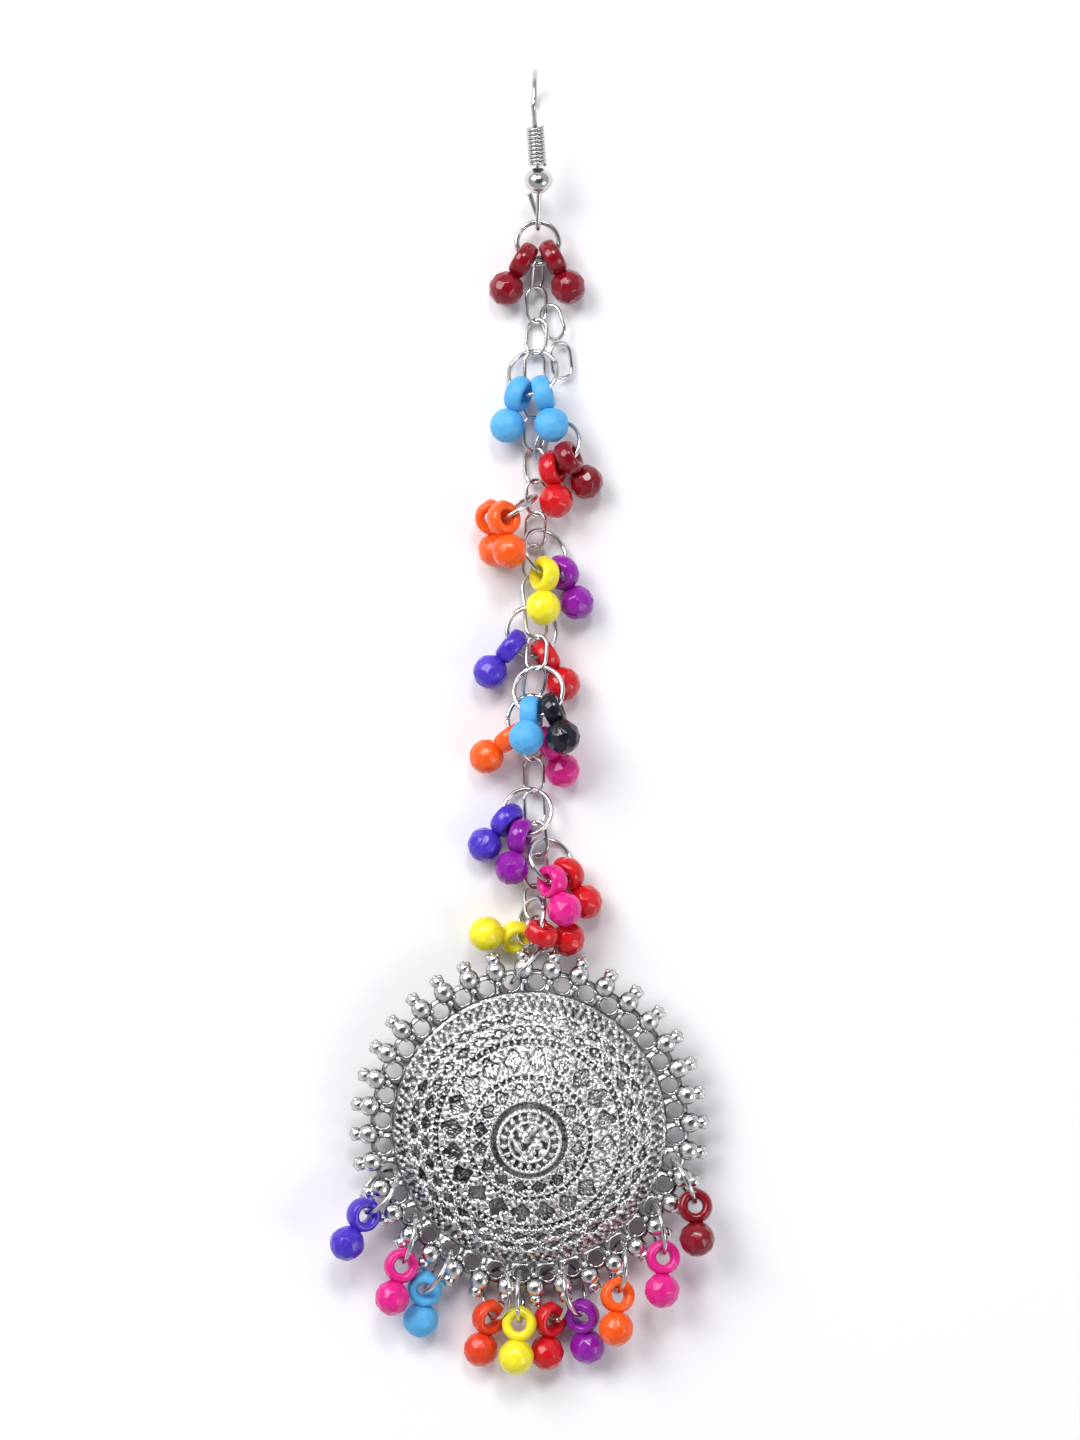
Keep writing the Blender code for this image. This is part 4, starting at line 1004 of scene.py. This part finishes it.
hook_start = TOP_RING_PLACE + (0, top_ring_radius, 0)
eye_radius = (TOP_RING_WIRE + HOOK_WIRE) / 2 + BEARING_GAP
eye_angles = turn_angles(*EYE_TURN)
eye = hook_start + eye_radius * np.column_stack((0 * eye_angles, np.cos(eye_angles), np.sin(eye_angles)))
bow_angles = turn_angles(*BOW_TURN)
bow_middle = hook_start + BOW_MIDDLE
bow_middle[2] = BOW_RADIUS + HOOK_WIRE / 2 + FLOOR_GAP
bow_round = np.column_stack((BOW_LEAN * np.cos(bow_angles), np.cos(bow_angles), np.sin(bow_angles)))
bow = bow_middle + BOW_RADIUS * bow_round
shank_ends = (hook_start + SHANK_LOW, hook_start + SHANK_TOP)
hook_route = np.vstack((eye[-1] + RETURN_END, eye[::-1], *shank_ends, bow))
hook_path = curve_points(hook_route, HOOK_STEPS)[0] + shift
hook = build("ear_hook_wire", *tube(hook_path, HOOK_WIRE / 2, (1.0, 0.0, 0.0)), steel)
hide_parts("ear_hook")
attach(hook, "root")


# Bead and coil of the ear wire. A plated bead, drilled through, sits on the shank under a close coil of
# thinner steel wire, ten turns of it, whose ends are cut off square.
BEAD_DIAMETER = 3.0
BEAD_LENGTH = 2.6
BEAD_SHOULDER = math.radians(64)
BORE = HOOK_WIRE / 2 + 0.28
BORE_CHAMFER = 0.04
LIP_SHARE, BORE_SHARE = 0.97, 0.8
BEAD_ROWS, BEAD_COLUMNS = 26, 48
COIL_WIRE = 0.38
COIL_OUTER = 1.95
COIL_TURNS = 10
COIL_SPREAD = 1.05
COIL_TURN_STEPS = 28


def node_middle(name):
    """Middle of a CAD node's box, in millimetres."""
    points = node_points(name)
    return (points.max(axis=0) + points.min(axis=0)) / 2


bead_middle = node_middle("hook_bead")
coil_middle = node_middle("hook_coil")
shank = unit(coil_middle - bead_middle)
shank_side = unit(np.cross(shank, (1.0, 0.0, 0.0)))
shank_axes = np.array((np.cross(shank_side, shank), shank_side, shank))

# The bead: a profile turned about the shank, from the bore over its lip, down the ball and back up the bore
bead_a = np.linspace(BEAD_SHOULDER, -BEAD_SHOULDER, BEAD_ROWS)
lip = BORE + BORE_CHAMFER
bead_r = np.concatenate(([BORE, lip], BEAD_DIAMETER / 2 * np.cos(bead_a), [lip, BORE]))[:, None]
bead_shares = np.concatenate(([BORE_SHARE, LIP_SHARE], np.sin(bead_a), [-LIP_SHARE, -BORE_SHARE]))
bead_z = BEAD_LENGTH / 2 * bead_shares[:, None]
bead_t = np.arange(BEAD_COLUMNS)[None] * 2 * np.pi / BEAD_COLUMNS
bead_grid = np.stack((bead_r * np.cos(bead_t), bead_r * np.sin(bead_t), bead_z + 0 * bead_t), axis=-1)
bead_points = bead_grid.reshape(-1, 3) @ shank_axes + bead_middle
bead_faces = grid_faces(len(bead_r), BEAD_COLUMNS, wrap_rows=True)
bead = build("hook_bead_turned", bead_points, bead_faces, plating)
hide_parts("hook_bead")
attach(bead, "root")

# The coil: a wire carried along a screw line, each turn a little more than the wire's width from the last
coil_radius = (COIL_OUTER - COIL_WIRE) / 2
coil_t = np.linspace(0, 2 * np.pi * COIL_TURNS, COIL_TURNS * COIL_TURN_STEPS)
coil_z = (coil_t / (2 * np.pi) - COIL_TURNS / 2) * COIL_WIRE * COIL_SPREAD
coil_path = np.column_stack((coil_radius * np.cos(coil_t), coil_radius * np.sin(coil_t), coil_z))
coil_points, coil_faces = tube(coil_path, COIL_WIRE / 2, (0.0, 0.0, 1.0), sides=THIN_WIRE_SIDES)
coil = build("hook_coil_wire", coil_points @ shank_axes + coil_middle, coil_faces, steel)
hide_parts("hook_coil")
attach(coil, "root")
